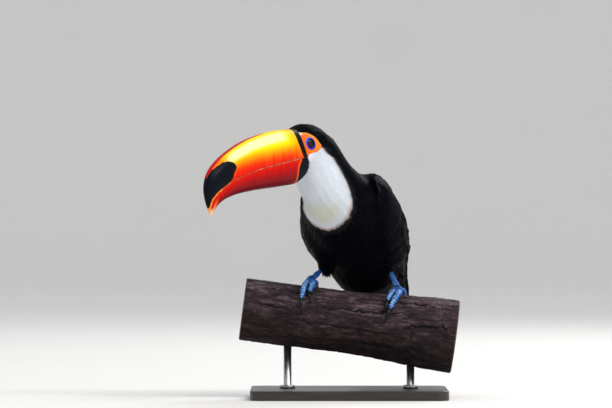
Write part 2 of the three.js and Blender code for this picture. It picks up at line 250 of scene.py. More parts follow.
def opened(mesh):
    bm = bmesh.new()
    bm.from_mesh(mesh)
    return bm


def as_mesh(bm, name):
    mesh = bpy.data.meshes.new(name)
    bm.to_mesh(mesh)
    bm.free()
    return mesh


def merge(bm, distance):
    bmesh.ops.remove_doubles(bm, verts=bm.verts, dist=distance)


def ease(bm, verts):
    bmesh.ops.smooth_vert(bm, verts=verts, factor=0.5, use_axis_x=True, use_axis_y=True,
                          use_axis_z=True)


def flat_grid(across, along):
    """A flat grid to be bent, and the places of its corners from -1 to 1."""
    bm = bmesh.new()
    bmesh.ops.create_grid(bm, x_segments=across, y_segments=along, size=1)
    return bm, np.array([v.co[:] for v in bm.verts])


def bend(bm, at):
    for vert, co in zip(bm.verts, at * MM):
        vert.co = co


def rolled_sheet(around, along, place):
    """A sheet rolled into a closed form: place(t, turn) gives millimetres for t from 0 to 1 along
    it and turn from -1 to 1 round it, and the ends and the seam are welded."""
    bm, flat = flat_grid(around, along)
    bend(bm, place((flat[:, 1] + 1) / 2, flat[:, 0]))
    merge(bm, 2e-6)
    bmesh.ops.holes_fill(bm, edges=bm.edges)
    bmesh.ops.recalc_face_normals(bm, faces=bm.faces)
    return as_mesh(bm, "sheet")


def turned(outline, steps, distance):
    """A form turned on the upright axis, from radii and heights in metres."""
    bm = bmesh.new()
    verts = [bm.verts.new((r, 0, z)) for r, z in outline]
    edges = [bm.edges.new(pair) for pair in zip(verts, verts[1:])]
    bmesh.ops.spin(bm, geom=verts + edges, cent=(0, 0, 0), axis=(0, 0, 1), angle=math.tau,
                   steps=steps, use_merge=True)
    merge(bm, distance)
    bmesh.ops.recalc_face_normals(bm, faces=bm.faces)
    return bm


def joined_copy(names, swell):
    """A copy of CAD nodes as one mesh, each merged and swollen a little to close its thin cuts."""
    bm = bmesh.new()
    for name in names:
        part = opened(NODES[name].data)
        merge(part, MERGE)
        part.normal_update()
        for vert in part.verts:
            vert.co += vert.normal * swell * MM
        held = as_mesh(part, "held")
        bm.from_mesh(held)
        bpy.data.meshes.remove(held)
    return as_mesh(bm, "joined")


def worked(mesh, *steps):
    """The mesh as its modifiers leave it, each given as its kind and its settings."""
    holder = in_scene("holder", mesh)
    for kind, settings in steps:
        step = holder.modifiers.new(kind, kind)
        for key, value in settings.items():
            setattr(step, key, value)
    depsgraph = bpy.context.evaluated_depsgraph_get()
    made = bpy.data.meshes.new_from_object(holder.evaluated_get(depsgraph))
    bpy.data.objects.remove(holder)
    return made


def remeshed(mesh, voxel, smoothing):
    """The mesh as one even skin of small faces, smoothed."""
    grid = {"mode": "VOXEL", "voxel_size": voxel * MM}
    return worked(mesh, ("REMESH", grid), ("SMOOTH", {"iterations": smoothing}))


def surface_of(mesh):
    return BVHTree.FromPolygons(
        [v.co[:] for v in mesh.vertices], [p.vertices[:] for p in mesh.polygons]
    )


def tree_of(points):
    tree = KDTree(len(points))
    for i, p in enumerate(points):
        tree.insert(p, i)
    tree.balance()
    return tree


# ---------------------------------------------------------------- finishes


def ink(code):
    """A colour written as six hex digits, as the linear values that materials take."""
    parts = np.array([int(code[k : k + 2], 16) for k in (0, 2, 4)]) / 255
    return np.where(parts <= 0.04045, parts / 12.92, ((parts + 0.055) / 1.055) ** 2.4)


def painted(tint, *layers):
    """The tint with shades laid over it one after another, each by its share."""
    for share, shade in layers:
        tint = tint + col(share) * (shade - tint)
    return tint


class Nodes:
    """Shader nodes added one after another to a tree."""

    def __init__(self, tree):
        self.tree = tree

    def add(self, kind, inputs=(), **settings):
        made = self.tree.nodes.new(kind)
        for key, value in settings.items():
            setattr(made, key, value)
        for key, value in dict(inputs).items():
            self.join(value, made.inputs[key])
        return made

    def join(self, value, socket):
        if isinstance(value, bpy.types.NodeSocket):
            self.tree.links.new(value, socket)
        elif isinstance(value, (np.ndarray, tuple, list)) and socket.type == "RGBA":
            socket.default_value = (*value[:3], 1)
        else:
            socket.default_value = value

    def join_all(self, named, sockets):
        for name, value in named.items():
            self.join(value, sockets[name.replace("_", " ")])

    def noise(self, where, scale, detail=3.0, distortion=0.0):
        sizes = {"Vector": where, "Scale": scale, "Detail": detail, "Distortion": distortion}
        return self.add("ShaderNodeTexNoise", sizes).outputs["Fac"]

    def cells(self, where, scale, feature="F1"):
        sizes = {"Vector": where, "Scale": scale}
        return self.add("ShaderNodeTexVoronoi", sizes, feature=feature).outputs["Distance"]

    def calc(self, way, *values):
        made = self.add("ShaderNodeMath", dict(enumerate(values)), operation=way)
        return made.outputs[0]

    def sum(self, a, b):
        return self.calc("ADD", a, b)

    def times(self, made, *others):
        for other in others:
            made = self.calc("MULTIPLY", made, other)
        return made

    def over(self, value, low, high, first=0.0, last=1.0, way="SMOOTHSTEP"):
        """value from low to high, read smoothly as first to last."""
        sizes = {"Value": value, "From Min": low, "From Max": high, "To Min": first, "To Max": last}
        return self.add("ShaderNodeMapRange", sizes, interpolation_type=way).outputs["Result"]

    def blend(self, share, a, b, way="MIX"):
        made = self.add("ShaderNodeMix", data_type="RGBA", blend_type=way)
        for key, value in zip((0, 6, 7), (share, a, b)):
            self.join(value, made.inputs[key])
        return made.outputs[2]

    def layered(self, shade, *layers):
        """Shades laid over one another, each with its share and its hex digits."""
        for share, code in layers:
            shade = self.blend(share, shade, ink(code))
        return shade

    def vector(self, x, y, z=0.0):
        return self.add("ShaderNodeCombineXYZ", {"X": x, "Y": y, "Z": z}).outputs[0]

    def grey(self, value):
        return self.add("ShaderNodeCombineColor", {k: value for k in (0, 1, 2)}).outputs[0]

    def stretched(self, where, scale):
        return self.add("ShaderNodeMapping", {"Vector": where, "Scale": scale}).outputs["Vector"]


class Effect(Nodes):
    """A node group that several materials share."""

    def __init__(self, name, inputs, outputs):
        self.group = bpy.data.node_groups.new(name, "ShaderNodeTree")
        super().__init__(self.group)
        for direction, ports in (("INPUT", inputs), ("OUTPUT", outputs)):
            for port, kind in ports.items():
                self.group.interface.new_socket(port, in_out=direction, socket_type=kind)
        self.given = self.tree.nodes.new("NodeGroupInput").outputs
        self.made = self.tree.nodes.new("NodeGroupOutput").inputs

    def gives(self, **named):
        self.join_all(named, self.made)
        return self.group


class Finish(Nodes):
    """A material whose nodes are added one after another."""

    def __init__(self, name, **constants):
        self.material = bpy.data.materials.new(name)
        self.material.use_nodes = True
        super().__init__(self.material.node_tree)
        self.shader = self.tree.nodes["Principled BSDF"]
        self.join_all(constants, self.shader.inputs)

    def gives(self, **named):
        self.join_all(named, self.shader.inputs)
        return self.material

    def effect(self, group, **named):
        made = self.add("ShaderNodeGroup", node_tree=group)
        self.join_all(named, made.inputs)
        return made.outputs

    def place(self, stretch=(1, 1, 1)):
        """Object coordinates in millimetres, stretched."""
        at = self.add("ShaderNodeTexCoord").outputs["Object"]
        return self.stretched(at, tuple(k / MM for k in stretch))

    def attribute(self, name, kind="Fac"):
        return self.add("ShaderNodeAttribute", attribute_name=name).outputs[kind]

    def relief(self, height, depth, strength=1.0, under=None):
        """A bump of this depth in millimetres, laid on an earlier one."""
        sizes = {"Height": height, "Distance": depth * MM, "Strength": strength}
        if under is not None:
            sizes["Normal"] = under
        return self.add("ShaderNodeBump", sizes).outputs["Normal"]


NUMBER, SHADE, WHERE = "NodeSocketFloat", "NodeSocketColor", "NodeSocketVector"


def scales_effect():
    """Small rounded scales with darker seams, as on the face, round the eyes and on the feet."""
    effect = Effect(
        "small_scales",
        {"Place": WHERE, "Size": NUMBER, "Skin": SHADE, "Seam": SHADE, "Seam Share": NUMBER},
        {"Color": SHADE, "Height": NUMBER},
    )
    given = effect.given
    away = effect.cells(given["Place"], given["Size"])
    seam = effect.times(effect.over(away, 0.25, 0.65), given["Seam Share"])
    shade = effect.blend(seam, given["Skin"], given["Seam"])
    return effect.gives(Color=shade, Height=effect.over(away, 0.0, 0.6, 1.0, 0.0))


def grain_effect():
    """Uneven grain between two shades, with its own roughness, for wood, claw and brushed steel."""
    effect = Effect(
        "uneven_grain",
        {"Place": WHERE, "Size": NUMBER, "Dark": SHADE, "Light": SHADE, "Smooth": NUMBER,
         "Rough": NUMBER},
        {"Color": SHADE, "Roughness": NUMBER, "Height": NUMBER},
    )
    given = effect.given
    grain = effect.noise(given["Place"], given["Size"], 5.0, 0.4)
    shade = effect.blend(effect.over(grain, 0.33, 0.67), given["Dark"], given["Light"])
    roughness = effect.over(grain, 0.3, 0.7, given["Smooth"], given["Rough"], "LINEAR")
    return effect.gives(Color=shade, Roughness=roughness, Height=grain)


def barbs_effect():
    """Fine barbs slanting away either side of a vane's shaft, and a mask along the vane's edges for
    a painted sheen.
    """
    effect = Effect(
        "feather_barbs",
        {"Vane": WHERE, "Turn": NUMBER, "Barbs": NUMBER},
        {"Barb": NUMBER, "Rim": NUMBER, "Height": NUMBER},
    )
    given = effect.given
    parts = effect.add("ShaderNodeSeparateXYZ", {"Vector": given["Vane"]}).outputs
    side = effect.calc("ABSOLUTE", parts["X"])
    slanted = effect.times(effect.sum(parts["Y"], effect.times(side, -0.22)), given["Barbs"])
    turn = effect.times(given["Turn"], 40.0)
    fine = effect.noise(effect.vector(effect.times(parts["X"], 1.8), slanted, turn), 5.0, 3.0)
    shaft = effect.over(side, 0.0, 0.1, 1.0, 0.0)
    # the mask along the vane's edges is where a sheen is painted
    return effect.gives(Barb=fine, Rim=effect.over(side, 0.7, 1.0, 0.0, 0.7),
                        Height=effect.sum(fine, effect.times(shaft, 0.6)))


def horn_effect():
    """Horn broken by streaks that stand up from the cutting edge, and pale chips along it."""
    effect = Effect(
        "streaked_horn",
        {"Place": WHERE, "Rest": NUMBER, "Along": NUMBER, "Skin": SHADE, "Streaks": NUMBER,
         "Chipped To": NUMBER},
        {"Color": SHADE, "Ragged": NUMBER, "Height": NUMBER},
    )
    given = effect.given
    at, rest, along = (given[k] for k in ("Place", "Rest", "Along"))
    ribs = effect.vector(effect.times(along, 0.15), effect.times(rest, 0.7))
    bars = effect.over(effect.noise(ribs, 1.0, 2.5, 0.3), 0.4, 0.72)
    share = effect.times(bars, effect.over(rest, 0.0, 0.62, 1.0, 0.0), given["Streaks"])
    cloud = effect.over(effect.noise(at, 0.09, 4.0), 0.3, 0.75, 0.94, 1.04)
    tint = effect.layered(given["Skin"], (share, "cc1a00"))
    tint = effect.blend(1.0, tint, effect.grey(cloud), "MULTIPLY")
    behind = effect.sum(given["Chipped To"], effect.times(along, -1.0))
    chips = effect.times(
        effect.over(rest, 0.005, 0.035, 1.0, 0.0),
        effect.over(effect.noise(at, 0.5, 3.0), 0.46, 0.6),
        effect.over(along, -1.0, 3.0),
        effect.over(behind, 0.0, 12.0),
        0.85,
    )
    ragged = effect.times(effect.sum(effect.noise(at, 0.35, 4.0), -0.5), 1.3)
    return effect.gives(Color=effect.layered(tint, (chips, "ffdc9c")), Ragged=ragged, Height=bars)


SCALES = scales_effect()
GRAIN = grain_effect()
BARBS = barbs_effect()
HORN = horn_effect()


def feather_finish(name, gloss, barbs, contrast, edge, **constants):
    """Vanes in each feather's own tint, with fine barbs and with a painted sheen along their edges,
    for the light that a feather's edge catches.
    """
    finish = Finish(name, **constants)
    uv = finish.add("ShaderNodeUVMap", uv_map="vane").outputs["UV"]
    vane = finish.effect(BARBS, Vane=uv, Turn=finish.attribute("turn"), Barbs=barbs)
    streaks = finish.over(vane["Barb"], 0.3, 0.7, 1 - contrast, 1 + contrast * 0.5)
    tint = finish.blend(1.0, finish.attribute("tint", "Color"), finish.grey(streaks), "MULTIPLY")
    return finish.gives(
        # the edge colour is a painted sheen, added along each vane's edges
        Base_Color=finish.blend(vane["Rim"], tint, edge, "ADD"),
        Roughness=finish.over(vane["Barb"], 0.25, 0.75, gloss - 0.1, gloss + 0.12),
        Normal=finish.relief(vane["Height"], 0.12, 0.8),
    )


# ---------------------------------------------------------------- markings

# Where the bare orange skin of the face ends, forward and up of the bill's root.
FACE_OUTLINE = [
    (6, 35), (-3, 33), (-9.5, 31.2), (-17, 30.2), (-22.6, 27.6), (-27.2, 23.8), (-30.4, 19.6),
    (-31.6, 15.6), (-30.8, 11.8), (-28, 7.8), (-23, 5.2), (-17.5, 4.2), (-13.2, 3.2), (-12, 0),
    (-12.6, -5), (-12.6, -10), (-12, -14.5), (-10.2, -18.5), (6, -20),
]
# Half of the white bib as it shows from straight ahead: out from its middle, and height.
BIB_YAW = 30
BIB_MIDDLE = ((80, 125), (4.4, 7))  # where its middle is at these heights
BIB_HALF = [
    (0, 196), (14, 184), (17.5, 180), (26.5, 167), (31, 153), (34.5, 140), (36.5, 126), (37.6, 116),
    (36, 105), (31, 95), (21, 85.4), (10, 80), (0, 78),
]
BIB_OUTLINE = BIB_HALF + [(-x, z) for x, z in BIB_HALF[-2:0:-1]]

BLACK = ink("05060b")
CREAM = ink("dae0e8")
# the bib's own yellowish wash low down, darkened and tinted there as painted shade and a painted
# reflection
CREAM_WASH_AND_SHADE = ink("d6d4b2")
RIM = ink("b08274")
RED = ink("a8140f")

BODY_LINE = np.concatenate([
    in_head(*np.array([(14, 0, 0), (-12, 0, 2), (-34, 0, 4)], float).T),
    np.array([(x, y, z + PERCH_TOP) for x, y, z in NECK_LINE[::-1]], float),
    in_body(*np.array(TRUNK_LINE[::-1], float).T)[2:],
])
LINE = path_through(BODY_LINE)(np.linspace(0, 1, 90))
LINE_WAY = unit(np.gradient(LINE, axis=0))
LEG_AXES = {LEFT: ((34, 8, 66), (49, 33, 31)), RIGHT: ((-22, 0, 74), (-28, 27, 31))}


def lie(points, on_thigh):
    """The way that feathers lie: from the bill back along the body, and down the thighs."""
    away = np.linalg.norm(points[:, None] - LINE[None], axis=2)
    nearness = np.exp(-(away**2 - away.min(1, keepdims=True) ** 2) / (2 * 22**2))
    way = unit(nearness @ LINE_WAY)
    for side, (hip, ankle) in LEG_AXES.items():
        down = unit(np.subtract(ankle, hip))
        way[on_thigh == side] = unit(0.25 * way[on_thigh == side] + down)
    return way


def bib_depth(points):
    """How far inside the white bib a point is, in millimetres, negative outside it."""
    forward, left, _ = facing(BIB_YAW)
    height = points[:, 2] - PERCH_TOP
    rows = np.array(NECK_LINE, float)
    middle = np.stack([np.interp(height, rows[:, 2], rows[:, k]) for k in (0, 1)], 1)
    ahead = (points[:, :2] - middle) @ forward[:2]
    out = points @ left - np.interp(height, *BIB_MIDDLE)
    depth = inside_outline(BIB_OUTLINE, out, height)
    return np.where(ahead > 0, depth, -20)


def face_depth(points):
    """How far inside the bare skin of the face a point is, negative outside it."""
    along, out, up = to_head(points)
    on_face = (along > -40) & (np.abs(out) > 8) & (np.abs(out) < 36)
    return np.where(on_face, inside_outline(FACE_OUTLINE, along, up), -20)


def tail_end(points):
    """Shares of the red under the tail's root and of the white above it."""
    ahead = to_body(points)[0]
    line = np.array(TRUNK_LINE, float)
    height = points[:, 2] - PERCH_TOP - np.interp(ahead, line[:, 0], line[:, 1])
    out = (points - in_body(ahead, np.zeros(len(points)))) @ BODY_LEFT
    near = smoothstep(-ahead, 78, 85) * (1 - smoothstep(np.abs(out), 6, 11))
    return near * smoothstep(-height, 0, 6), near * smoothstep(height, 4, 9)


def plumage(points):
    """The plumage's colour at each point, with painted shade and a painted reflection low on the
    bib.
    """
    depth = bib_depth(points)
    white = smoothstep(depth, -0.8, 0.8)
    low = smoothstep(PERCH_TOP + 120 - points[:, 2], 0, 20)
    rim = smoothstep(-depth, -3.2, -0.4) * white * (0.25 + 0.75 * low)
    # low on the bib: its own yellowish wash, with painted shade and a painted reflection laid in
    # with it
    warm = white * low * smoothstep(depth, 3, 14) * 0.55
    red, pale = tail_end(points)
    return painted(np.tile(BLACK, (len(points), 1)), (white, CREAM), (warm, CREAM_WASH_AND_SHADE),
                   (rim * 0.7, RIM), (pale, CREAM), (red, RED))


# ---------------------------------------------------------------- skin

COAT_DEPTH = {"body": 1.9, "head": 1.3, "face": 0.45}


def faired(mesh, weight, rounds):
    """The mesh eased by its weights, so that the wings' front edges melt into the breast."""
    before = corners_of(mesh)
    bm = opened(mesh)
    verts = [v for v, w in zip(bm.verts, weight) if w > 0.01]
    for _ in range(rounds):
        ease(bm, verts)
    bm.to_mesh(mesh)
    bm.free()
    move_corners(mesh, before + col(weight) * (corners_of(mesh) - before))


def make_skin():
    """One skin over the body's flesh, sunk by the depth of the coat that lies on it."""
    mesh = remeshed(joined_copy(FLESH + ["eye_left", "eye_right"], 0.28), 1.3, 5)
    at = corners_of(mesh)
    ahead = to_body(at)[0]
    shoulders = smoothstep(ahead, -10, 8) * (1 - smoothstep(ahead, 62, 80))
    shoulders = shoulders * smoothstep(-bib_depth(at), 5, 14)
    shoulders = shoulders * (1 - smoothstep(at[:, 2], PERCH_TOP + 150, PERCH_TOP + 174))
    faired(mesh, shoulders, 120)
    at, out = corners_of(mesh), normals_of(mesh)
    along, _, up = to_head(at)
    on_head = smoothstep(along, -75, -45) * smoothstep(up, -60, -30)
    depth = COAT_DEPTH["body"] + on_head * (COAT_DEPTH["head"] - COAT_DEPTH["body"])
    bare = smoothstep(face_depth(at), -1, 1)
    depth = depth + bare * (COAT_DEPTH["face"] - depth)
    low_brow = 1.9 * smoothstep(along, -26, -8) * smoothstep(up, 29, 36)
    sunk = at - out * depth[:, None] - col(low_brow) * HEAD_UP
    for side in (LEFT, RIGHT):
        middle, axis, _, _ = eye_axes(side)
        offset = sunk - middle
        high = offset @ axis
        q = np.linalg.norm(offset - high[:, None] * axis, axis=1)
        drawn = 2.6 * (1 - smoothstep(q, OPENING, LID)) * (high > 0)
        sunk = sunk - drawn[:, None] * axis
    move_corners(mesh, sunk)
    add_values(mesh, tint=plumage(sunk), bare=face_depth(sunk), along=along, up=up)
    piece = finish_piece("skin", mesh, skin_finish(), FLESH)
    unwrap(piece)
    return piece


def unwrap(piece):
    """A first unwrap of the whole skin, from which each feather takes its place."""
    bpy.context.view_layer.objects.active = piece
    piece.select_set(True)
    bpy.ops.object.mode_set(mode="EDIT")
    bpy.ops.mesh.select_all(action="SELECT")
    bpy.ops.uv.smart_project(angle_limit=1.3, island_margin=0.002)
    bpy.ops.object.mode_set(mode="OBJECT")
    piece.select_set(False)


def skin_finish():
    """Down in the plumage's own tints, and bare pebbled orange skin on the face."""
    finish = Finish("skin_and_down", Specular_IOR_Level=0.2)
    at, along, up = finish.place(), finish.attribute("along"), finish.attribute("up")
    ragged = finish.sum(finish.attribute("bare"), finish.times(finish.noise(at, 0.9), 1.2))
    bare = finish.over(ragged, 0.3, 0.9)
    edge = finish.over(ragged, 0.8, 4.5, 1.0, 0.0)
    mottle = finish.over(finish.noise(at, 0.55, 4.0), 0.35, 0.7)
    wedge = finish.over(finish.sum(up, finish.times(along, 0.4)), 24.8, 26.2)
    gape = finish.times(
        finish.over(along, -12.0, -7.5),
        finish.over(up, 1.5, 4.5, 1.0, 0.0),
        finish.over(up, -4.0, -1.5),
    )
    orange = finish.layered(
        finish.blend(finish.over(along, -30.0, -6.0), ink("ff9200"), ink("fc7000")),
        (finish.times(edge, finish.over(up, 14.0, 26.0), 0.7), "ffb020"),
        (finish.times(mottle, 0.3), "f04400"),
        (finish.times(finish.over(along, -12.0, -9.0), wedge, 0.95), "fbf0ea"),
        (finish.times(gape, 0.85), "f5d29a"),
    )
    orange, pebbled = finish.effect(SCALES, Place=at, Size=1.1, Skin=orange, Seam=ink("c83c00"),
                                    Seam_Share=0.3)
    tint = finish.attribute("tint", "Color")
    down = finish.blend(finish.noise(at, 1.4), tint, (0.7, 0.7, 0.7), "MULTIPLY")
    soft = finish.relief(finish.noise(at, 0.8, 4.0), 0.3, 0.5)
    return finish.gives(
        Base_Color=finish.blend(bare, down, orange),
        Roughness=finish.over(bare, 0.0, 1.0, 0.75, 0.42),
        Normal=finish.relief(finish.times(pebbled, bare), 0.22, 0.9, soft),
    )


class Surface:
    """The finished skin, for finding places on it."""

    def __init__(self, piece):
        mesh = piece.data
        self.tree = surface_of(mesh)
        mesh.calc_loop_triangles()
        count = len(mesh.loop_triangles)
        tris, loops = np.empty(count * 3, int), np.empty(count * 3, int)
        mesh.loop_triangles.foreach_get("vertices", tris)
        mesh.loop_triangles.foreach_get("loops", loops)
        uv = np.empty(len(mesh.loops) * 2)
        mesh.uv_layers[0].data.foreach_get("uv", uv)
        self.corners = corners_of(mesh)[tris.reshape(-1, 3)]
        self.uv = uv.reshape(-1, 2)[loops.reshape(-1, 3)]

    def scatter(self, count, rng):
        """Evenly random places on the skin, with their places on its unwrap."""
        a, b, c = self.corners.transpose(1, 0, 2)
        area = np.linalg.norm(np.cross(b - a, c - a), axis=1)
        picked = rng.choice(len(area), count, p=area / area.sum())
        u, v = rng.random((2, count))
        flip = u + v > 1
        u, v = np.where(flip, 1 - u, u), np.where(flip, 1 - v, v)
        shares = np.stack([1 - u - v, u, v], 1)[..., None]
        return (self.corners[picked] * shares).sum(1), (self.uv[picked] * shares).sum(1)

    def nearest(self, points):
        found = [self.tree.find_nearest(Vector(p * MM)) for p in points]
        at = np.array([f[0][:] for f in found]) / MM
        return at, np.array([f[1][:] for f in found])


def owners(points):
    """The flesh node nearest each point, by its place in the list of them."""
    corners, faces, owner = [], [], []
    for k, name in enumerate(FLESH):
        mesh = NODES[name].data
        start = len(corners)
        corners += [v.co[:] for v in mesh.vertices]
        faces += [[start + i for i in p.vertices] for p in mesh.polygons]
        owner += [k] * len(mesh.polygons)
    tree = BVHTree.FromPolygons(corners, faces)
    return np.array([owner[tree.find_nearest(Vector(p * MM))[2]] for p in points])


def thinned(points, spacing, rng):
    """Points picked so that none is nearer to another than its spacing."""
    tree = tree_of(points)
    dropped = np.zeros(len(points), bool)
    kept = []
    for i in rng.permutation(len(points)):
        if dropped[i]:
            continue
        kept.append(i)
        for _, j, _ in tree.find_range(points[i], spacing[i]):
            dropped[j] = True
    return np.array(kept)


# ---------------------------------------------------------------- feathers

# Outlines of vanes: the share of the half width at places from root to tip.
TIPS = {
    "rounded": ([0, 0.25, 0.6, 0.85, 0.95, 1], [0.45, 0.8, 1.0, 0.82, 0.5, 0.08]),
    "silky": ([0, 0.2, 0.5, 0.8, 1], [0.6, 1.0, 0.9, 0.5, 0.04]),
    "flight": ([0, 0.1, 0.82, 0.91, 0.97, 1], [0.6, 0.9, 1.0, 0.88, 0.55, 0.12]),
    "tail": ([0, 0.1, 0.9, 0.95, 0.98, 1], [0.7, 0.9, 1.0, 0.93, 0.74, 0.24]),
}
VANE_PATCH = 0.0015  # how much of the unwrap a vane's own patch takes
GOLDEN_SHARE = 0.61803


def lay_vanes(name, spine, normal, width, lift, tint, root_uv, tip, finish, across=4,
              droop=0.16, replaced=(), thick=0.0):
    """Feathers as joined vanes. spine and normal are (feather, station, 3), width is each
    feather's half width, lift (feather, station) its height over the spine, tip the name of its
    outline, and tint (feather, 3) or (feather, station, 3)."""
    count, stations = spine.shape[:2]
    bm, flat = flat_grid(across, stations - 1)
    row = np.rint((flat[:, 1] + 1) / 2 * (stations - 1)).astype(int)
    mesh = worked(as_mesh(bm, "vane"), ("ARRAY", {"count": count, "use_relative_offset": False}))
    way = unit(np.gradient(spine, axis=1))
    side = unit(np.cross(normal, way))
    u, v = flat[:, 0], row / (stations - 1)
    share = np.interp(v, *TIPS[tip])
    reach = width[:, None] * share[None] * u[None]
    drop = droop * width[:, None] * share[None] * u[None] ** 2
    rise = lift[:, row] - drop
    at = spine[:, row] + side[:, row] * reach[..., None] + normal[:, row] * rise[..., None]
    move_corners(mesh, at)
    patch = np.stack([u, 2 * v - 1], 1) * VANE_PATCH
    corner = np.empty(len(mesh.loops), int)
    mesh.loops.foreach_get("vertex_index", corner)
    layers = {"OFBake": (root_uv[:, None] + patch[None]).reshape(-1, 2),
              "vane": np.tile(np.stack([u, v], 1), (count, 1))}
    for layer_name, values in layers.items():
        layer = mesh.uv_layers.new(name=layer_name)
        layer.data.foreach_set("uv", values[corner].ravel())
    shades = tint[:, row] if tint.ndim == 3 else np.repeat(tint[:, None], len(flat), axis=1)
    turn = (np.arange(count) * GOLDEN_SHARE) % 1
    add_values(mesh, tint=shades.reshape(-1, 3), turn=np.repeat(turn, len(flat)))
    if thick:
        bm = opened(mesh)
        bmesh.ops.solidify(bm, geom=bm.faces, thickness=thick * MM)
        bm.to_mesh(mesh)
        bm.free()
    return finish_piece(name, mesh, finish, replaced)


def walk(surface, roots, lengths, steps, on_thigh, rng):
    """Spines that start at the roots and follow the lie of the plumage over the skin."""
    at, out = surface.nearest(roots)
    sway = rng.normal(0, 0.1, (len(roots), 1))
    spine, normals = [at], [out]
    for _ in range(steps):
        way = lie(at, on_thigh)
        way = unit(way - out * (way * out).sum(1, keepdims=True))
        way = unit(way + np.cross(out, way) * sway)
        at, out = surface.nearest(at + way * lengths[:, None] / steps)
        spine.append(at)
        normals.append(out)
    normals = np.stack(normals, 1)
    return np.stack(spine, 1), unit(normals + normals.mean(1, keepdims=True))


SEEDS = {"coat": 7, "wings": 11, "tail": 5}
SCATTERED = 150000  # places tried for a feather's root
WING_STATIONS = 12
TAIL_STATIONS = 20
SHORT_STATIONS = 6
SHORT_COUNT = 300  # feathers over the tail's root, and as many under it
# name: spacing, length, half width, height of the tips, stations, vanes across, outline
COATS = {
    "head": (1.45, 6.5, 1.5, 0.85, 4, 2, "silky"),
    "bib": (1.5, 10.5, 1.25, 1.5, 5, 2, "silky"),
    "body": (3.2, 13.5, 3.6, 1.7, 6, 4, "rounded"),
    "thighs": (2.2, 14, 1.9, 2.2, 5, 2, "silky"),
}


def make_coat(surface):
    """Feathers over all of the skin but the bare face and the flight feathers' part."""
    rng = np.random.default_rng(SEEDS["coat"])
    roots, uv = surface.scatter(SCATTERED, rng)
    names = np.array(FLESH)[owners(roots)]
    along, ahead, white = to_head(roots)[0], to_body(roots)[0], bib_depth(roots)
    bare = face_depth(roots) > -0.4
    group = np.full(len(roots), "body", dtype="<U6")
    group[np.char.startswith(names, "thigh")] = "thighs"
    group[(names == "head") | ((names == "neck") & (white < 0))] = "head"
    group[(white > -1) & np.isin(names, ["head", "neck", "trunk"])] = "bib"
    flight = np.char.startswith(names, "wing") & (ahead < -22)
    facing_bill = surface.nearest(roots)[1] @ HEAD_FORWARD > 0.8
    keep = ~bare & ~flight & (along < 0) & ~(facing_bill & (along > -9))
    spacing = np.array([COATS[g][0] for g in group])
    spacing = np.where(group == "head", spacing * (1 + 0.5 * smoothstep(-along, 30, 70)), spacing)
    roots, uv, group, spacing, ahead = (a[keep] for a in (roots, uv, group, spacing, ahead))
    picked = thinned(roots, spacing, rng)
    roots, uv, group, ahead = (a[picked] for a in (roots, uv, group, ahead))
    outward = to_body(roots)[1]
    # the dark plumes get a painted sheen of this colour along their vanes' edges
    dark = feather_finish("black_plumes", 0.44, 14, 0.35, ink("0c0f16"), IOR=1.08)
    pale = feather_finish("white_plumes", 0.75, 6, 0.06, (0, 0, 0), Specular_IOR_Level=0.2)
    black = (0.12, 0.1, dark, "black_feathers")
    looks = {"bib": (0.05, 0.02, pale, "white_feathers")}
    for name, (_, length, half, tip, stations, across, shape) in COATS.items():
        uneven, mottled, finish, slot = looks.get(name, black)
        for side in (LEFT, RIGHT):
            mine = (group == name) & ((outward > 0) == (side == LEFT))
            on_thigh = np.where(group[mine] == "thighs", side, 0)
            count = mine.sum()
            size = rng.normal(1, 0.1, count)
            low_rear = (ahead[mine] < -42) & (roots[mine][:, 2] < PERCH_TOP + 22)
            loose = low_rear | (name == "thighs")
            sizes = length * size * np.where(low_rear, 1.6, 1)
            spine, normal = walk(surface, roots[mine], sizes, stations - 1, on_thigh, rng)
            v = np.linspace(0, 1, stations)
            for k in (stations - 2, stations - 1):
                step = spine[loose, stations - 3] - spine[loose, stations - 4]
                spine[loose, k] = spine[loose, k - 1] + step
            lift = 0.12 + (tip * rng.normal(1, uneven, count))[:, None] * v[None] ** 0.8
            tint = plumage(spine.reshape(-1, 3)).reshape(spine.shape)
            tint = tint * rng.normal(1, mottled, (count, 1, 1))
            lay_vanes(f"{name}_feathers_{SIDE_NAMES[side]}", spine, normal, half * size, lift,
                      tint, uv[mine], shape, finish, across)
    return dark, pale


# ---------------------------------------------------------------- wings and tail


def wing_place(side, t, m):
    """A place on the folded wing's outside: t from the shoulder to the tip, and m from 1 at its
    upper edge to -1 at its lower edge."""
    rows = np.array(WING, float)
    spine = path_through(in_body(rows[:, 0], rows[:, 1]))
    half, up, top, low, thick = (through(rows[:, k]) for k in (2, 3, 4, 5, 6))
    turn = np.radians((low(t) + top(t)) / 2 - m * (low(t) - top(t)) / 2)
    way = unit(spine(t + 0.004) - spine(t - 0.004))
    over = unit(np.cross(BODY_LEFT, way))
    over = np.where(over[..., 2:] < 0, -over, over)
    slip = SHOULDER_SLIP[side] * (1 - smoothstep(t, 0.1, 0.5))
    skin = 0.75 * thick(t) * np.sqrt(np.clip(1 - m * m, 0, 1)) ** 0.7
    out = side * np.sin(turn) * (half(t) + skin) + slip
    return spine(t) + col(out) * BODY_LEFT + col(np.cos(turn) * (up(t) + skin)) * over


# rows of the folded wing: count, t at the roots, t at the tips, m from and to, half width, lift
WING_ROWS = [
    (7, (0.62, 0.70), (1.0, 0.90), (0.1, -0.62), 6.5, 0.5),
    (9, (0.50, 0.58), (0.86, 0.80), (0.50, -0.84), 7.4, 1.3),
    (3, (0.46, 0.50), (0.90, 0.84), (0.98, 0.72), 9.5, 1.9),
    (11, (0.40, 0.46), (0.62, 0.60), (0.90, -0.90), 6.6, 2.3),
    (13, (0.31, 0.37), (0.48, 0.47), (0.92, -0.92), 5.4, 2.6),
    (15, (0.24, 0.29), (0.37, 0.37), (0.92, -0.92), 4.6, 2.6),
]


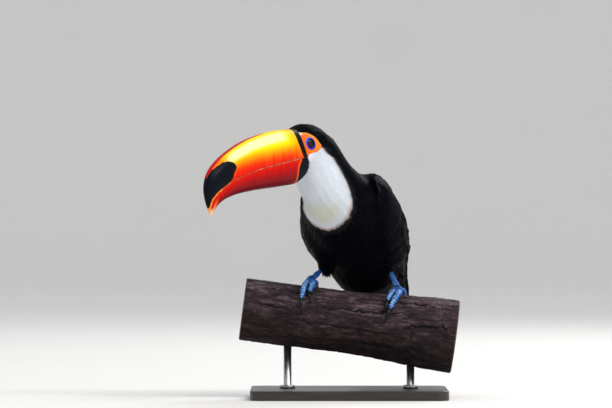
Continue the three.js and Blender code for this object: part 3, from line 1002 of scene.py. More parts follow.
def make_wing_feathers(surface, finish):
    """The folded wings' feathers, row over row, pressed to the skin."""
    rng = np.random.default_rng(SEEDS["wings"])
    v = np.linspace(0, 1, WING_STATIONS)
    for side in (LEFT, RIGHT):
        parts = []
        for count, roots, tips, across, half, lift in WING_ROWS:
            k = np.linspace(0, 1, count)
            start, end, m = (a + (b - a) * k for a, b in (roots, tips, across))
            t = start[:, None] + (end - start)[:, None] * v[None]
            aim = wing_place(side, t, m[:, None] * (1 - 0.25 * v[None]))
            places = (a.reshape(aim.shape) for a in surface.nearest(aim.reshape(-1, 3)))
            raised = lift * (0.3 + 0.7 * v)[None] + 0.9 * (1 - k)[:, None] * (0.4 + v)[None] / 1.4
            raised = raised * (1 - 0.35 * smoothstep(v, 0.7, 1))
            parts.append((*places, np.full(count, float(half)), raised))
        spine, normal, width, raised = (np.concatenate(p) for p in zip(*parts))
        tint = np.tile(BLACK, (len(spine), 1)) * rng.normal(1, 0.06, (len(spine), 1))
        uv = 0.02 + 0.96 * rng.random((len(spine), 2))
        lay_vanes(f"flight_feathers_{SIDE_NAMES[side]}", spine, normal, width, raised, tint, uv,
                  "flight", finish, 6)


def tail_frame():
    """The way that the tail points, and the way up from it."""
    droop = math.radians(TAIL["droop"])
    back = -BODY_FORWARD * math.cos(droop) - np.array([0, 0, math.sin(droop)])
    over = -unit(np.cross(back, BODY_LEFT))
    return back, np.where(over[2] < 0, -over, over)


def tail_place(t, m, lift):
    """A place in the tail: t along it, m across it from -1 to 1, and lift over its middle."""
    back, over = tail_frame()
    wide = through(TAIL["half"])
    reach = TAIL["length"] * (t - 0.14 * m * m * smoothstep(t, 0.6, 1))
    start = in_body(*TAIL["root"])
    return start + col(reach) * back + col(m * wide(t)) * BODY_LEFT + col(lift - 7 * m * m) * over


def make_tail(dark, pale):
    """The ten long tail feathers, with white feathers over their root and red ones under it."""
    over = tail_frame()[1]
    v = np.linspace(0, 1, TAIL_STATIONS)
    ranks = np.array([5, 4, 3, 2, 1, 1.5, 2.5, 3.5, 4.5, 5.5])
    count, order = len(ranks), np.argsort(-ranks)
    middle = (np.arange(count) - 4.5)[order] / 5.6
    t = np.repeat(0.03 + 0.964 * v[None], count, axis=0)
    m = middle[:, None] * (0.75 + 0.25 * v[None])
    lift = (ranks[order][:, None] * -0.45 + 1.4) * (1 - 0.55 * v[None])
    normal = unit(over + BODY_LEFT * (m * 0.3)[..., None])
    uv = np.stack([np.linspace(0.05, 0.95, count), np.full(count, 0.5)], 1)
    lay_vanes("tail_feathers", tail_place(t, m, lift), normal, np.full(count, 10.5),
              np.zeros(t.shape), np.tile(BLACK, (count, 1)), uv, "tail", dark,
              8, 0.05, ["tail"], 0.5)
    rng = np.random.default_rng(SEEDS["tail"])
    count, w = SHORT_COUNT, np.linspace(0, 1, SHORT_STATIONS)
    for name, shade, under, finish, slot in (
        ("rump", CREAM, 1, pale, "white_feathers"),
        ("vent", RED, -1, dark, "black_feathers"),
    ):
        start = 0.01 + rng.random(count) * 0.15
        across = rng.uniform(-0.85, 0.85, count)
        t = start[:, None] + (0.13 + 0.05 * rng.random((count, 1))) * w[None]
        side = np.repeat(across[:, None], SHORT_STATIONS, axis=1)
        thick = 6.5 - 5.3 * t
        raised = under * (thick * np.sqrt(np.clip(1 - side**2, 0, 1)) * 0.6 + 2.2 - 0.8 * w[None])
        spine = tail_place(t, side, raised)
        normal = np.broadcast_to(over * under, spine.shape).copy()
        share = 1 - smoothstep(np.abs(across), 0.3, 0.44)
        tint = painted(BLACK, (share, shade)) * rng.normal(1, 0.07, (count, 1))
        uv = 0.02 + 0.96 * rng.random((count, 2))
        lay_vanes(f"{name}_feathers", spine, normal, np.full(count, 2.7), np.zeros(t.shape),
                  tint, uv, "rounded", finish)


# ---------------------------------------------------------------- bill

# The black spot at the bill's tip and the front edges of the black bands at its root,
# forward and up of the root.
SPOT = [
    (124.8, 6), (126.5, 10), (129.4, 12.3), (135.9, 14.6), (144.4, 14.3), (154, 10.7), (161, 6.9),
    (165.5, 3.4), (190, 2), (190, -39), (171.6, -39.5), (170.6, -33), (168.8, -28), (163.4, -23),
    (156.8, -18.6), (147.2, -14.6), (137.4, -10.2), (133.2, -6.6), (131, -1.4), (127.5, 2.2),
]
UPPER_BAND = [
    (-30, 44), (2.4, 44), (2, 36), (4.8, 31), (4.4, 20), (1.2, 9), (-1.8, 2), (-4, -4), (-30, -4),
]
LOWER_BAND = [
    (-30, 1), (0.6, 1), (1, -2), (6.2, -9), (7.7, -14), (7.4, -22), (6.8, -27), (7.2, -36),
    (-30, -36),
]


OUTSIDE = 0.75  # the share of a half's turn that lies over its outside


def bill_place(outer, inner, half_width, bulge, teeth):
    """Gives place(t, turn) for one half of the bill: over its outside, then back across its
    inside, with small teeth along its cutting edge."""
    ridge, edge = path_through(outer), path_through(inner)
    wide = through(half_width)

    def place(t, turn):
        t = np.clip((t * (BILL_ROWS + 2) - 1) / BILL_ROWS, -0.01, 1.01)
        r = ((t >= 0) & (t <= 1)).astype(float)
        t = np.clip(t, 0, 1)
        a, b = ridge(t), edge(t)
        share = np.abs(turn)
        over = np.minimum(1, share / OUTSIDE)
        inside = np.clip((share - OUTSIDE) / (1 - OUTSIDE), 0, 1)
        high = np.clip(np.cos(over * np.pi / 2), 0, 1) ** 0.8
        out = np.sin(over * np.pi / 2) ** 0.72 * (1 - inside)
        reach = r * np.sign(turn) * out * wide(t)
        rest = np.where(r > 0, high, 0.35)
        at_root = np.clip(1 - 7 * t, 0, 1) ** 2
        back = at_root * bulge * 4 * rest * (1 - rest)
        notch = teeth * np.clip(np.sin(t * 250), -0.2, 1) * smoothstep(t, 0.06, 0.14)
        notch = notch * (1 - smoothstep(t, 0.86, 0.95)) * np.exp(-rest * 26) * out
        along = b[..., 0] + (a - b)[..., 0] * rest - back - 0.35 * smoothstep(t, 0.55, 0.8)
        up = b[..., 1] + (a - b)[..., 1] * rest + notch
        return in_head(along, reach, up)

    return place


def gradient(values, stops):
    """Colours read off a list of (value, hex)."""
    xs = [s[0] for s in stops]
    inks = np.array([ink(s[1]) for s in stops])
    return np.stack([np.interp(values, xs, inks[:, k]) for k in range(3)], -1)


def make_upper_bill():
    place = bill_place(CULMEN, TOMIUM, MAXILLA_HALF, MAXILLA_BULGE, 0.4)
    mesh = rolled_sheet(72, BILL_ROWS, place)
    along, out, up = to_head(corners_of(mesh))
    tomium = np.interp(along, *np.array(TOMIUM, float).T)
    culmen = np.interp(along, *np.array(CULMEN[:8], float).T)
    rest = np.clip((up - tomium) / np.maximum(culmen - tomium, 4), 0, 1)
    lower = [(0, "dc1800"), (0.16, "f03000"), (0.3, "ff6a00"), (0.45, "ffa400"), (0.6, "ffdc00")]
    warm = [(0, "f04400"), (0.4, "ff8400"), (0.75, "ffae00")]
    fiery = [(0, "f04a10"), (0.3, "f88014"), (0.6, "ffb010"), (0.9, "f0540c")]
    # a pale band along the upper bill, painted in as a highlight
    painted_highlight_band = smoothstep(along, 16, 34) * (1 - smoothstep(along, 124, 146))
    painted_highlight_band = painted_highlight_band * smoothstep(rest, 0.64, 0.77) * (1 - smoothstep(rest, 0.93, 0.98))
    stripe = np.interp(along, [26, 60, 100, 150, 165, 169.5], [-1, 2.8, 3.8, 3.6, 2.8, 0])
    stripe = np.where((rest > 0.5) & (up > -4), stripe - np.abs(out + 1.2), -5)
    spot = np.minimum(inside_outline(SPOT, along, up), -stripe)
    under = smoothstep(along, 134, 144) * (1 - smoothstep(rest, 0.3, 0.5))
    away = smoothstep(-spot, 1.4, 2.4)
    tint = painted(
        gradient(rest - 0.12 * smoothstep(along, 50, 120), lower),
        (painted_highlight_band * 0.9, ink("f0f0b0")),
        ((1 - smoothstep(along, 4, 26)) * 0.8, gradient(rest, warm)),
        (smoothstep(along, 126, 152) * 0.85, gradient(rest, fiery)),
        (under * (1 - away), ink("fb9030")),
        (under * away, ink("c80c04")),
        (smoothstep(-up, 38, 44), ink("f9cf96")),
    )
    band = inside_outline(UPPER_BAND, along, up)
    add_values(mesh, tint=tint, rest=rest, along=along, stripe=stripe, spot=spot, band=band)
    finish = horn_finish("upper_bill", ["spot", "band"], 0.85, 142, "stripe")
    finish_piece("upper_bill", mesh, finish, ["bill_upper"])


def make_lower_bill():
    edge = [(along + 0.05, up - 0.45) for along, up in TOMIUM]
    place = bill_place(GONYS, edge, MANDIBLE_HALF, MANDIBLE_BULGE, 0)
    mesh = rolled_sheet(72, BILL_ROWS, place)
    along, _, up = to_head(corners_of(mesh))
    tomium = np.interp(along, *np.array(TOMIUM, float).T)
    gonys = np.interp(along, *np.array(GONYS, float).T)
    rest = np.clip((tomium - up) / np.maximum(tomium - gonys, 4), 0, 1)
    # red darkening towards the mandible's underside: its own deeper red, with painted shade on the
    # underside
    deep = [(0, "e01400"), (0.16, "c40400"), (0.44, "9a0006"), (0.76, "72000e"), (1, "5a0010")]
    band = inside_outline(LOWER_BAND, along, up)
    rim = smoothstep(band, -4.5, -0.5) * (1 - smoothstep(band, 0.2, 0.8))
    rear = smoothstep(-along, 10.5, 12.5) * smoothstep(up, -16, -10)
    tint = painted(
        gradient(rest, deep),
        (smoothstep(along, 156, 163) * 0.8, ink("f06a20")),
        (smoothstep(along, 161, 167) * 0.9, ink("f9cf96")),
        (rim * 0.85, ink("fb6a08")),
        (rear, ink("fb6a08")),
    )
    add_values(mesh, tint=tint, rest=rest, along=along, band=band - 3 * rear)
    finish = horn_finish("lower_bill", ["band"], 0.6, 138)
    finish_piece("lower_bill", mesh, finish, ["bill_lower"])


def horn_finish(name, black_marks, streaks, chipped_to, ridge=None):
    """Glossy horn in soft colours with black marks and, on the upper bill, a red line along the
    ridge."""
    finish = Finish(name, Coat_Weight=0.02, Coat_Roughness=0.2, Specular_IOR_Level=0.07)
    at = finish.place()
    horn = finish.effect(
        HORN, Place=at, Rest=finish.attribute("rest"), Along=finish.attribute("along"),
        Skin=finish.attribute("tint", "Color"), Streaks=streaks, Chipped_To=chipped_to,
    )
    tint = horn["Color"]
    if ridge:
        red = finish.over(finish.sum(finish.attribute(ridge), horn["Ragged"]), -0.6, 0.6)
        tint = finish.layered(tint, (red, "c40018"))
    dark = 0.0
    for mark in black_marks:
        inside = finish.sum(finish.attribute(mark), horn["Ragged"])
        dark = finish.calc("MAXIMUM", dark, finish.over(inside, -0.35, 0.35))
    black = finish.blend(finish.noise(at, 0.2, 4.0), ink("010307"), ink("0a121c"))
    scratches = finish.noise(finish.place((1, 1, 4)), 0.25, 5.0)
    grain = finish.relief(finish.noise(at, 0.12, 4.0), 0.3, 0.2)
    fine = finish.relief(finish.noise(finish.place((1.2, 1.2, 3)), 0.7, 4.0), 0.08, 0.5, grain)
    return finish.gives(
        Base_Color=finish.blend(dark, tint, black),
        Roughness=finish.over(scratches, 0.3, 0.7, 0.32, 0.48),
        Normal=finish.relief(horn["Height"], 0.12, 0.35, fine),
    )


# ---------------------------------------------------------------- eyes

def eye_axes(side):
    """The eye's middle, the way it looks, and the directions forward and up across it."""
    middle = in_head(EYE["along"], side * EYE["out"], EYE["up"])
    turn = math.radians(EYE["turn"])
    axis = unit(HEAD_LEFT * side * math.cos(turn) + HEAD_FORWARD * math.sin(turn))
    front = unit(HEAD_FORWARD - axis * (HEAD_FORWARD @ axis))
    up = np.cross(front, axis)
    return middle, axis, front, up * np.sign(up @ HEAD_UP)


def make_eye(surface, side, ball_finish, rim_finish):
    name = SIDE_NAMES[side]
    middle, axis, front, up = eye_axes(side)
    bm = bmesh.new()
    bmesh.ops.create_icosphere(bm, subdivisions=5, radius=EYEBALL * MM)
    for vert in bm.verts:
        vert.co += Vector(middle * MM)
    mesh = as_mesh(bm, "eyeball")
    offset = corners_of(mesh) - middle
    off_axis = np.degrees(np.arccos(np.clip(offset @ axis / EYEBALL, -1, 1)))
    around = np.degrees(np.arctan2(offset @ up, offset @ front))
    add_values(mesh, off_axis=off_axis, round=around)
    finish_piece(f"eyeball_{name}", mesh, ball_finish, [f"eye_{name}"])

    bm, flat = flat_grid(128, 22)
    angle, rho = flat[:, 0] * np.pi, (flat[:, 1] + 1) / 2
    point = np.exp(-((((np.degrees(angle) - 238 + 180) % 360) - 180) / 40) ** 2)
    outer = 7.8 + 1.8 * point
    q = OPENING - 0.25 + (outer - OPENING + 0.25) * rho
    direction = col(np.cos(angle)) * front + col(np.sin(angle)) * up
    far = np.maximum(q, SEAT)
    skin = np.array([ray_height(surface, middle, axis, d, k) for d, k in zip(direction, far)])
    crown = EYEBALL - 0.1
    height = np.where(q < SEAT, crown + (skin - crown) * (q / SEAT) ** 2, skin)
    height = height + 0.42 * np.exp(-(((q - OPENING - 0.5) / 0.45) ** 2))
    height = height - 1.3 * (1 - smoothstep(q, OPENING - 0.25, OPENING + 0.25))
    ripple = 0.09 * np.sin(q * 7.5 + 0.8 * np.sin(angle * 7)) * smoothstep(rho, 0.25, 0.45)
    height = height + 0.4 + ripple - 1.1 * smoothstep(rho, 0.82, 1.0)
    bend(bm, middle + direction * q[:, None] + axis * height[:, None])
    merge(bm, 1e-5)
    mesh = as_mesh(bm, "ring")
    offset = corners_of(mesh) - middle
    across = offset - (offset @ axis)[:, None] * axis
    # how far round towards the upper front a point lies, where the ring's highlight is painted
    brow = unit(across) @ unit(up + 0.7 * front)
    add_values(mesh, from_middle=np.linalg.norm(across, axis=1), brow=brow)
    if np.mean(normals_of(mesh) @ axis) < 0:
        mesh.flip_normals()
    finish_piece(f"eye_ring_{name}", mesh, rim_finish)


def ray_height(surface, middle, axis, direction, q):
    """How far out along the eye's axis the skin is, q from the axis."""
    start = middle + direction * q + axis * 25
    hit = surface.tree.ray_cast(Vector(start * MM), Vector(-axis))[0]
    return (np.array(hit[:]) / MM - middle) @ axis if hit else 5.0


def eye_finish():
    """A wet dark eye: black pupil, brown fibres in the iris and a black edge."""
    finish = Finish("eye", Specular_IOR_Level=0.3)
    at, off = finish.place(), finish.attribute("off_axis")
    rays = finish.vector(finish.times(finish.attribute("round"), 0.35), finish.times(off, 0.05))
    iris = finish.layered(
        finish.blend(finish.noise(rays, 1.0, 4.0), ink("0d0604"), ink("2c150a")),
        (finish.over(off, 34.0, 40.0), "040303"),
        (finish.over(off, 21.5, 22.5, 1.0, 0.0), "020203"),
    )
    return finish.gives(
        Base_Color=iris,
        Roughness=finish.over(finish.noise(at, 0.6), 0.2, 0.8, 0.01, 0.03),
        Normal=finish.relief(finish.noise(at, 0.3), 0.01, 0.1),
    )


def ring_finish():
    """Bright cobalt skin, black at the lid's edge and navy where it meets the face, with a painted
    highlight on its upper front side, towards the forehead, and painted shade on its lower side."""
    finish = Finish("eye_ring", Specular_IOR_Level=0.25)
    at, away = finish.place(), finish.attribute("from_middle")
    # a painted highlight on the upper front side, with lighter patches in it, and painted shade on
    # the lower side
    painted_ring_highlight = finish.over(finish.attribute("brow"), -0.9, 0.9)
    patches = finish.over(finish.noise(at, 0.8, 3.0), 0.4, 0.7)
    blue = finish.layered(
        finish.blend(painted_ring_highlight, ink("0618c0"), ink("1450ff")),
        (finish.times(patches, finish.over(painted_ring_highlight, 0.2, 1.0, 0.15, 0.75)), "3c96ff"),
        (finish.over(away, 7.4, 8.4, 0.0, 0.8), "081250"),
        (finish.over(away, 5.7, 6.3, 1.0, 0.0), "03040d"),
    )
    blue, scales = finish.effect(SCALES, Place=at, Size=1.6, Skin=blue, Seam=ink("040d5c"),
                                 Seam_Share=0.35)
    return finish.gives(
        Base_Color=blue,
        Roughness=finish.over(finish.noise(at, 1.2), 0.3, 0.7, 0.38, 0.5),
        Normal=finish.relief(scales, 0.12, 0.6),
    )


# ---------------------------------------------------------------- legs and feet

LEGS = {
    RIGHT: {"s": -55, "slant": (-5, -5, 6, 4), "ankle": (-28, 27, 31)},
    LEFT: {"s": 56, "slant": (-13, -7, 8, 5), "ankle": (49, 33, 31)},
}
TOE_ENDS = {"front_outer": (4.6, 60), "front_inner": (-4.6, 43), "back_outer": (4.8, -52),
            "back_inner": (-4.4, -34)}
PAD = {"angle": 6, "clear": 7.2}
SCUTE = 2.6
KNUCKLE = 13


def branch_radius(s):
    return PERCH["radius"] + PERCH["swell"] * smoothstep(np.asarray(s, float), -10, 130)


def branch_axes():
    """The branch's middle, and the ways along it and up from it."""
    slope = math.radians(PERCH["slope"])
    middle = np.array([0, 0, PERCH_TOP - PERCH["radius"] / math.cos(slope)])
    along = np.array([math.cos(slope), 0, -math.sin(slope)])
    return middle, along, np.array([math.sin(slope), 0, math.cos(slope)])


def on_branch(s, angle, clear):
    """A place by the branch: s along it, angle in degrees from its top towards the front."""
    middle, along, over = branch_axes()
    a, out = np.radians(angle), branch_radius(s) + clear
    front = np.array([0, -1, 0])
    return middle + col(s) * along + col(out * np.cos(a)) * over + col(out * np.sin(a)) * front


def foot_lines(side):
    """The middle lines of a shank and of its four toes."""
    leg = LEGS[side]
    pad = on_branch(leg["s"], PAD["angle"], PAD["clear"])
    ankle = np.array(leg["ankle"], float) + [0, 0, PERCH_TOP]
    k = np.linspace(0, 1, 60)
    lines = [ankle + (pad - ankle) * k[:, None]]
    for i, name in enumerate(TOES):
        out, end = TOE_ENDS[name]
        start = PAD["angle"] + math.copysign(2, end)
        at = leg["s"] + side * out * smoothstep(k, -0.6, 0.35) + leg["slant"][i] * k
        lines.append(on_branch(at, start + (end - start) * k, 2.6 * (1 - k) + 3))
    return lines


def make_foot(side, scaly_finish, horn):
    """A foot with rows of scutes down the shank and over each toe."""
    name = SIDE_NAMES[side]
    nodes = [f"shank_{name}"] + [f"toe_{name}_{toe}" for toe in TOES]
    mesh = remeshed(joined_copy(nodes, 0.24), 0.5, 6)
    at, out = corners_of(mesh), normals_of(mesh)
    best, second = np.full((2, len(at)), 1e9)
    reach, top = np.zeros((2, len(at)))
    for i, line in enumerate(foot_lines(side)):
        tree = tree_of(line)
        found = [tree.find(p) for p in at]
        distance = np.array([f[2] for f in found])
        index = np.array([f[1] for f in found])
        step = np.linalg.norm(np.diff(line, axis=0), axis=1).mean()
        away = unit(at - line[index])
        mid = on_branch(LEGS[side]["s"], 0, -branch_radius(0))
        up = unit(line[index] - mid) if i else np.tile(BODY_FORWARD, (len(at), 1))
        nearer = distance < best
        second = np.where(nearer, best, np.minimum(second, distance))
        best = np.where(nearer, distance, best)
        reach = np.where(nearer, index * step, reach)
        top = np.where(nearer, (away * up).sum(1), top)
    uneven = np.array([noise.noise(Vector(p * 0.35)) for p in at])
    groove = np.abs((((reach + 1.1 * uneven) / SCUTE) % 1) - 0.5) * 2
    upper = smoothstep(top, -0.1, 0.35)
    scored = upper * smoothstep(groove, 0.65, 1.0)
    split = np.exp(-(((top - 0.66 - 0.12 * uneven) / 0.05) ** 2)) * (uneven > -0.25)
    knuckle = 0.35 * np.cos(reach / KNUCKLE * math.tau) * (reach > 4)
    # where the toes lie close together: pushed in, and painted dark there as shade
    between = (1 - smoothstep(second - best, 0.5, 2.6)) * smoothstep(reach, 8, 14)
    # the top of each scute, where a highlight is painted
    ridge = smoothstep(top, 0.5, 0.95) * (1 - smoothstep(groove, 0.3, 0.8))
    move_corners(mesh, at + out * (knuckle - 0.5 * scored - 0.7 * between)[:, None])
    add_values(mesh, groove=np.maximum(scored, 0.8 * split), upper=upper,
               ridge=ridge * smoothstep(reach, 4, 9), between=between)
    finish_piece(f"foot_{name}", mesh, scaly_finish, nodes)
    for toe in TOES:
        claw = f"claw_{name}_{toe}"
        bm = opened(NODES[claw].data)
        merge(bm, MERGE)
        bmesh.ops.subdivide_edges(bm, edges=bm.edges, cuts=2, smooth=1.0, use_grid_fill=True)
        ease(bm, bm.verts)
        finish_piece(f"curved_{claw}", as_mesh(bm, "claw"), horn, [claw])


def foot_finish():
    """Blue scales: a painted highlight along the middle of each scute on the tops of the toes, navy
    in the seams between them, and painted shade where the toes lie close together.
    """
    finish = Finish("blue_feet", Specular_IOR_Level=0.3)
    at = finish.place()
    patches = finish.over(finish.noise(at, 0.45, 4.0), 0.35, 0.65)
    painted_highlight_patches = finish.over(finish.noise(at, 0.38, 3.0), 0.42, 0.66, 0.12, 1.0)
    under = finish.over(finish.attribute("upper"), 0.0, 0.8, 1.0, 0.0)
    blue = finish.layered(
        finish.blend(patches, ink("0b4090"), ink("2c78c8")),
        # a painted highlight along the tops of the scutes
        (finish.times(finish.attribute("ridge"), painted_highlight_patches), "b8e4ff"),
    )
    blue, knobs = finish.effect(SCALES, Place=at, Size=1.0, Skin=blue, Seam=ink("0a1e50"),
                                Seam_Share=finish.times(under, 0.9))
    blue = finish.layered(
        blue,
        (finish.times(finish.attribute("groove"), 0.85), "061638"),
        # painted shade where the toes lie close together
        (finish.times(finish.attribute("between"), 0.9), "030a1e"),
    )
    return finish.gives(
        Base_Color=blue,
        Roughness=finish.over(finish.noise(at, 1.5), 0.3, 0.7, 0.36, 0.58),
        Normal=finish.relief(finish.times(knobs, under), 0.2, 0.8),
    )


def grained(name, stretch, size, dark, light, smooth, rough, depth, **constants):
    """A finish of uneven grain drawn out one way."""
    finish = Finish(name, **constants)
    shade, roughness, height = finish.effect(
        GRAIN, Place=finish.place(stretch), Size=size, Dark=ink(dark), Light=ink(light),
        Smooth=smooth, Rough=rough,
    )
    normal = finish.relief(height, depth, 0.5)
    return finish.gives(Base_Color=shade, Roughness=roughness, Normal=normal)


# ---------------------------------------------------------------- branch


def branch_form(s, angle):
    """The branch's radius before it weathered, with shallow flutes and a knot."""
    flutes = np.cos(3 * angle + s / 60) + 0.6 * np.cos(5 * angle - s / 45 + 2)
    knot = 3.5 * np.exp(-(((s - 78) / 16) ** 2)) * np.clip(np.cos(angle - 1.9), 0, 1) ** 4
    return branch_radius(s) - 0.5 + 0.5 * flutes + knot


def rough(across, s, scale, length, octaves, shift=0.0):
    """Noise drawn out along the branch: scale counts round it, length is along it."""
    rows = np.concatenate([across * scale + shift, col(s / length)], 1)
    return np.array([noise.fractal(Vector(row), 0.8, 2.1, octaves) for row in rows])


# The widest splits in the wood: s at the middle, angle in degrees, half length, depth, slant.
SPLITS = [
    (-70, 40, 46, 2.6, 0.05), (20, 62, 60, 3.0, -0.04), (95, 80, 34, 3.4, -0.1),
    (-20, 98, 70, 2.2, 0.03), (-100, 75, 30, 2.4, 0.1), (88, 36, 34, 3.0, 0.06),
    (50, 125, 55, 2.4, 0.02), (30, -60, 70, 2.6, 0.03), (-60, -90, 60, 2.4, -0.03),
    (70, -130, 60, 2.8, 0.02), (-10, 180, 80, 2.4, 0.0),
]


def weathering(s, angle):
    """How far the wood has weathered back from its rounded form, in millimetres."""
    across = np.stack([np.cos(angle), np.sin(angle)], 1)
    ridges = rough(across, s, 10.0, 24.0, 5)
    jagged = rough(across, s, 5.0, 9.0, 3, 7.0)
    seams = np.abs(rough(across, s, 2.4, 46.0, 3, 3.0))
    broken = smoothstep(rough(across, s, 1.6, 40.0, 2, 11.0), 0.0, 0.25)
    depth = 0.55 + 0.75 * ridges + 0.25 * jagged + 1.3 * broken * np.exp(-((seams / 0.045) ** 2))
    for centre, degrees, half, deep, slant in SPLITS:
        off = angle - math.radians(degrees) - slant * (s - centre) / 40 - 0.09 * jagged
        off = (off + np.pi) % (2 * np.pi) - np.pi
        ends = np.clip(1 - ((s - centre) / half) ** 2, 0, 1)
        depth = depth + deep * ends**0.5 * np.exp(-((off * 42 / (0.4 + 0.8 * ends)) ** 2))
    return np.clip(depth, 0, 3.8)


def make_branch():
    """The weathered branch, with sawn ends, long splits and raised grain."""
    around, along, disc = 246, 340, 22
    half = PERCH["length"] / 2

    def place(t, turn):
        row = t * (along + 2 * disc)
        r = np.clip(np.minimum(row, along + 2 * disc - row) / disc, 0, 1)
        s = (np.clip((row - disc) / along, 0, 1) - 0.5) * PERCH["length"]
        angle = turn * np.pi
        worn = weathering(s, angle) + 0.9 * smoothstep(np.abs(s), half - 1.4, half)
        full = branch_form(s, angle) - worn * smoothstep(r, 0.9, 1.0)
        sunk = 0.25 + 0.12 * np.sin(full * r * 2.1)
        s = s - np.sign(s) * sunk * (r < 0.99)
        return on_branch(s, np.degrees(angle), full * r - branch_radius(s))

    mesh = rolled_sheet(around, along + 2 * disc, place)
    middle, way, over = branch_axes()
    away = corners_of(mesh) - middle
    s, high = away @ way, away @ over
    angle, core = np.arctan2(-away[:, 1], high), np.hypot(away[:, 1], high)
    add_values(mesh, crack=branch_form(s, angle) - core, core=core,
               sawn=smoothstep(np.abs(s), half - 1.1, half - 0.7),
               turn=np.stack([np.cos(angle), np.sin(angle), s / 90], 1))
    finish_piece("branch", mesh, branch_finish(), ["perch"])


def branch_finish():
    """Bare old wood: dark purplish brown and greyer on its ridges, with painted shade that makes it
    near black in its deeper splits and darker underneath.
    """
    finish = Finish("weathered_wood", Specular_IOR_Level=0.25)
    around, crack = finish.attribute("turn", "Vector"), finish.attribute("crack")
    at, core = finish.place(), finish.attribute("core")
    thin = finish.stretched(around, (20, 20, 5))
    fibres = finish.noise(thin, 1.6, 7.0, 0.9)
    flecks = finish.noise(thin, 2.2, 8.0, 1.2)
    patches = finish.noise(finish.stretched(around, (3, 3, 2.2)), 1.3, 6.0, 0.8)
    worn = finish.times(finish.over(flecks, 0.56, 0.66), finish.over(patches, 0.42, 0.6, 0.1, 0.8))
    spread = finish.over(finish.noise(thin, 0.5, 4.0), 0.2, 0.8, -0.12, 0.12)
    bent = {0: around, 1: finish.vector(spread, spread)}
    bent = finish.add("ShaderNodeVectorMath", bent, operation="ADD").outputs[0]
    checks = finish.cells(finish.stretched(bent, (7, 7, 2.6)), 1.0, "DISTANCE_TO_EDGE")
    checks = finish.over(checks, 0.0, 0.06, 1.0, 0.0)
    checks = finish.times(checks, finish.over(patches, 0.38, 0.56, 1.0, 0.1))
    brown = finish.layered(
        finish.blend(finish.over(fibres, 0.36, 0.64), ink("140c0e"), ink("48363b")),
        (finish.over(patches, 0.52, 0.68, 0.0, 0.6), "6e5b60"),
        (finish.over(patches, 0.3, 0.44, 0.65, 0.0), "220f0c"),
        (worn, "a3919a"),
        (finish.over(flecks, 0.3, 0.4, 0.7, 0.0), "50231a"),
        (finish.times(checks, 0.85), "080405"),
        (finish.over(crack, -0.1, 0.45, 0.3, 0.0), "8d797a"),
    )
    height = finish.add("ShaderNodeSeparateXYZ", {"Vector": around}).outputs["X"]
    # painted shade: darker towards the branch's underside
    painted_underside_shade = finish.over(height, -0.3, 0.85, 0.8, 0.0)
    brown = finish.layered(
        finish.blend(painted_underside_shade, brown, finish.blend(1.0, brown, ink("8f7468"), "MULTIPLY")),
        # painted shade, near black in the deeper splits
        (finish.over(crack, 1.0, 2.2), "0b0606"),
        (finish.over(finish.noise(thin, 5.0, 3.0), 0.62, 0.7, 0.0, 0.5), "0e0909"),
    )
    brown = finish.blend(1.0, brown, ink("dedde4"), "MULTIPLY")
    drift = finish.times(finish.noise(at, 0.05), 6.0)
    rings = finish.calc("SINE", finish.times(finish.sum(core, drift), 1.9))
    shakes = finish.noise(finish.stretched(around, (6, 6, 0)), 1.8, 4.0)
    shakes = finish.over(shakes, 0.36, 0.4, 1.0, 0.0)
    cut = finish.layered(
        finish.blend(finish.over(rings, -1.0, 1.0), ink("5e4a38"), ink("7a634b")),
        (finish.over(finish.noise(at, 0.12, 6.0), 0.4, 0.7, 0.0, 0.7), "40302a"),
        (finish.times(shakes, finish.over(core, 8.0, 30.0)), "1c120e"),
    )
    raised = finish.sum(fibres, finish.times(checks, -0.7))
    return finish.gives(
        Base_Color=finish.blend(finish.attribute("sawn"), brown, cut),
        Roughness=finish.over(fibres, 0.3, 0.7, 0.68, 0.92),
        Normal=finish.relief(raised, 0.9, 0.8, finish.relief(patches, 1.2, 0.4)),
    )


# ---------------------------------------------------------------- stand


def rounded(bm, edges, radius, segments):
    bmesh.ops.bevel(bm, geom=edges, offset=radius * MM, segments=segments, profile=0.5,
                    affect="EDGES", material=-1)


def make_stand():
    """The stained wooden base and its two steel rods."""
    stained = grained("stained_wood", (0.05, 1, 1), 0.45, "17120f", "2f241d", 0.3, 0.45, 0.12,
                      Coat_Weight=0.3, Coat_Roughness=0.25)
    brushed = grained("brushed_steel", (1, 1, 0.05), 2.5, "a8aaac", "c8cacc", 0.22, 0.38, 0.02,
                      Metallic=1.0)
    bm = bmesh.new()
    bmesh.ops.create_cube(bm, size=1)
    size = [BASE[k] * MM for k in ("width", "depth", "height")]
    bmesh.ops.scale(bm, vec=size, verts=bm.verts)
    bmesh.ops.translate(bm, vec=(0, 0, size[2] / 2), verts=bm.verts)
    upright = [e for e in bm.edges if abs(e.verts[0].co.z - e.verts[1].co.z) > 0.001]
    rounded(bm, upright, BASE["corner"], 12)
    level = [e for e in bm.edges if abs(e.verts[0].co.z - e.verts[1].co.z) < 1e-6
             and len(e.link_faces) == 2
             and 0.5 < sum(abs(face.normal.z) for face in e.link_faces) < 1.5]
    rounded(bm, level, BASE["bevel"], 4)
    mesh = as_mesh(bm, "base")
    finish_piece("stand_plate", mesh, stained, ["stand_base"], smooth=False)
    for side in (LEFT, RIGHT):
        make_rod(side, brushed)


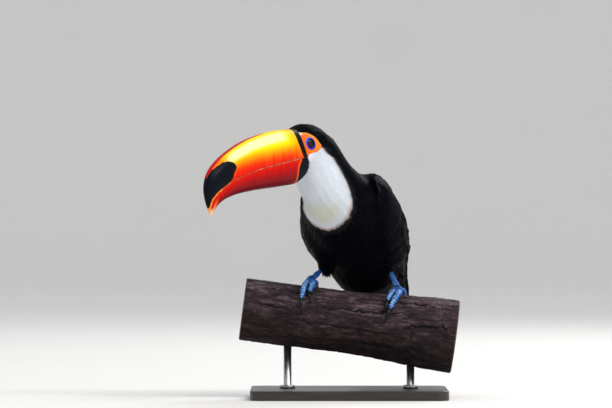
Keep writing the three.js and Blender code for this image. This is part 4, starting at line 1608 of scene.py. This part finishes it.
def make_rod(side, brushed):
    """A steel rod with a round collar where it stands on the base."""
    x, bottom = side * ROD["reach"], BASE["height"] + 0.3
    slope = math.radians(PERCH["slope"])
    top = PERCH_TOP - 2 * PERCH["radius"] - x * math.tan(slope) + 6
    wide, thin, rim = ROD["collar"], ROD["radius"], bottom + ROD["collar_height"]
    outline = [(0, bottom), (wide, bottom), (wide, rim - 1), (wide - 0.3, rim - 0.3),
               (wide - 1, rim), (thin + 0.4, rim), (thin, rim + 0.4), (thin, top), (0, top)]
    bm = turned([(r * MM, z * MM) for r, z in outline], 64, MERGE)
    bmesh.ops.translate(bm, vec=(x * MM, 0, 0), verts=bm.verts)
    name = f"stand_rod_{SIDE_NAMES[side]}"
    mesh = as_mesh(bm, "rod")
    rod = finish_piece(f"polished_{name}", mesh, brushed, [name], smooth=False)
    rod.data.polygons.foreach_set("use_smooth", [abs(p.normal.z) < 0.5 for p in rod.data.polygons])


# ---------------------------------------------------------------- studio


def make_floor():
    """A wide pale floor that curves up into a pale wall all round, far away."""
    turns = np.linspace(0, math.pi / 2, 14)
    outline = [(0, 0)] + [(9 + 3 * math.sin(a), 3 - 3 * math.cos(a)) for a in turns] + [(12, 7)]
    mesh = as_mesh(turned([(r, z - 0.0002) for r, z in outline], 72, 1e-5), "floor")
    if mesh.polygons[0].normal.z < 0:
        mesh.flip_normals()
    finish = Finish("pale_floor", Roughness=0.8)
    at = finish.add("ShaderNodeTexCoord").outputs["Object"]
    pale = finish.blend(finish.noise(at, 3.0), ink("ebeae7"), ink("eeedeb"))
    mesh.materials.append(finish.gives(Base_Color=pale))
    mesh.polygons.foreach_set("use_smooth", [True] * len(mesh.polygons))
    floor = in_scene("floor", mesh)


CAMERA = {"place": (-0.0546, -6.0, 0.2462), "lens": 277.9, "sensor": 36, "farthest": 60}
SKY = {"shade": (0.95, 0.97, 1, 1), "strength": 0.75}
LAMPS_AIM = (0, 0, 0.22)
LAMPS = [
    # name, place, size, power, colour
    ("key", (1.3, -2.2, 3.0), 1.3, 58, "fff8f0"),
    ("fill", (2.85, -1.67, 2.1), 0.7, 42, "eef4ff"),
    ("rim", (1.4, 2.6, 2.2), 1.2, 36, "ffffff"),
]


def make_lights():
    for name, place, size, power, shade in LAMPS:
        lamp = bpy.data.lights.new(name, "AREA")
        lamp.size = size
        lamp.energy = power
        lamp.color = ink(shade)
        holder = in_scene(name, lamp)
        holder.location = place
        aim = Vector(LAMPS_AIM) - Vector(place)
        holder.rotation_euler = aim.to_track_quat("-Z", "Y").to_euler()
    world = bpy.data.worlds.new("studio")
    world.use_nodes = True
    sky = world.node_tree.nodes["Background"].inputs
    sky[0].default_value = SKY["shade"]
    sky[1].default_value = SKY["strength"]
    bpy.context.scene.world = world
    bpy.context.scene.view_settings.view_transform = "Standard"


def make_camera():
    lens = bpy.data.cameras.new("camera")
    lens.sensor_width = CAMERA["sensor"]
    lens.lens = CAMERA["lens"]
    lens.clip_end = CAMERA["farthest"]
    camera = in_scene("camera", lens)
    camera.location = CAMERA["place"]
    camera.rotation_euler = (math.pi / 2, 0, 0)
    bpy.context.scene.camera = camera


make_camera()
make_lights()
make_floor()
skin = make_skin()
surface = Surface(skin)
dark, pale = make_coat(surface)
make_wing_feathers(surface, dark)
make_tail(dark, pale)
make_upper_bill()
make_lower_bill()
wet_eye, blue_ring, blue_scales = eye_finish(), ring_finish(), foot_finish()
black_claw = grained("claws", (1, 1, 3), 0.6, "040405", "101013", 0.28, 0.45, 0.1,
                     Specular_IOR_Level=0.25)
for side in (LEFT, RIGHT):
    make_eye(surface, side, wet_eye, blue_ring)
    make_foot(side, blue_scales, black_claw)
make_branch()
make_stand()
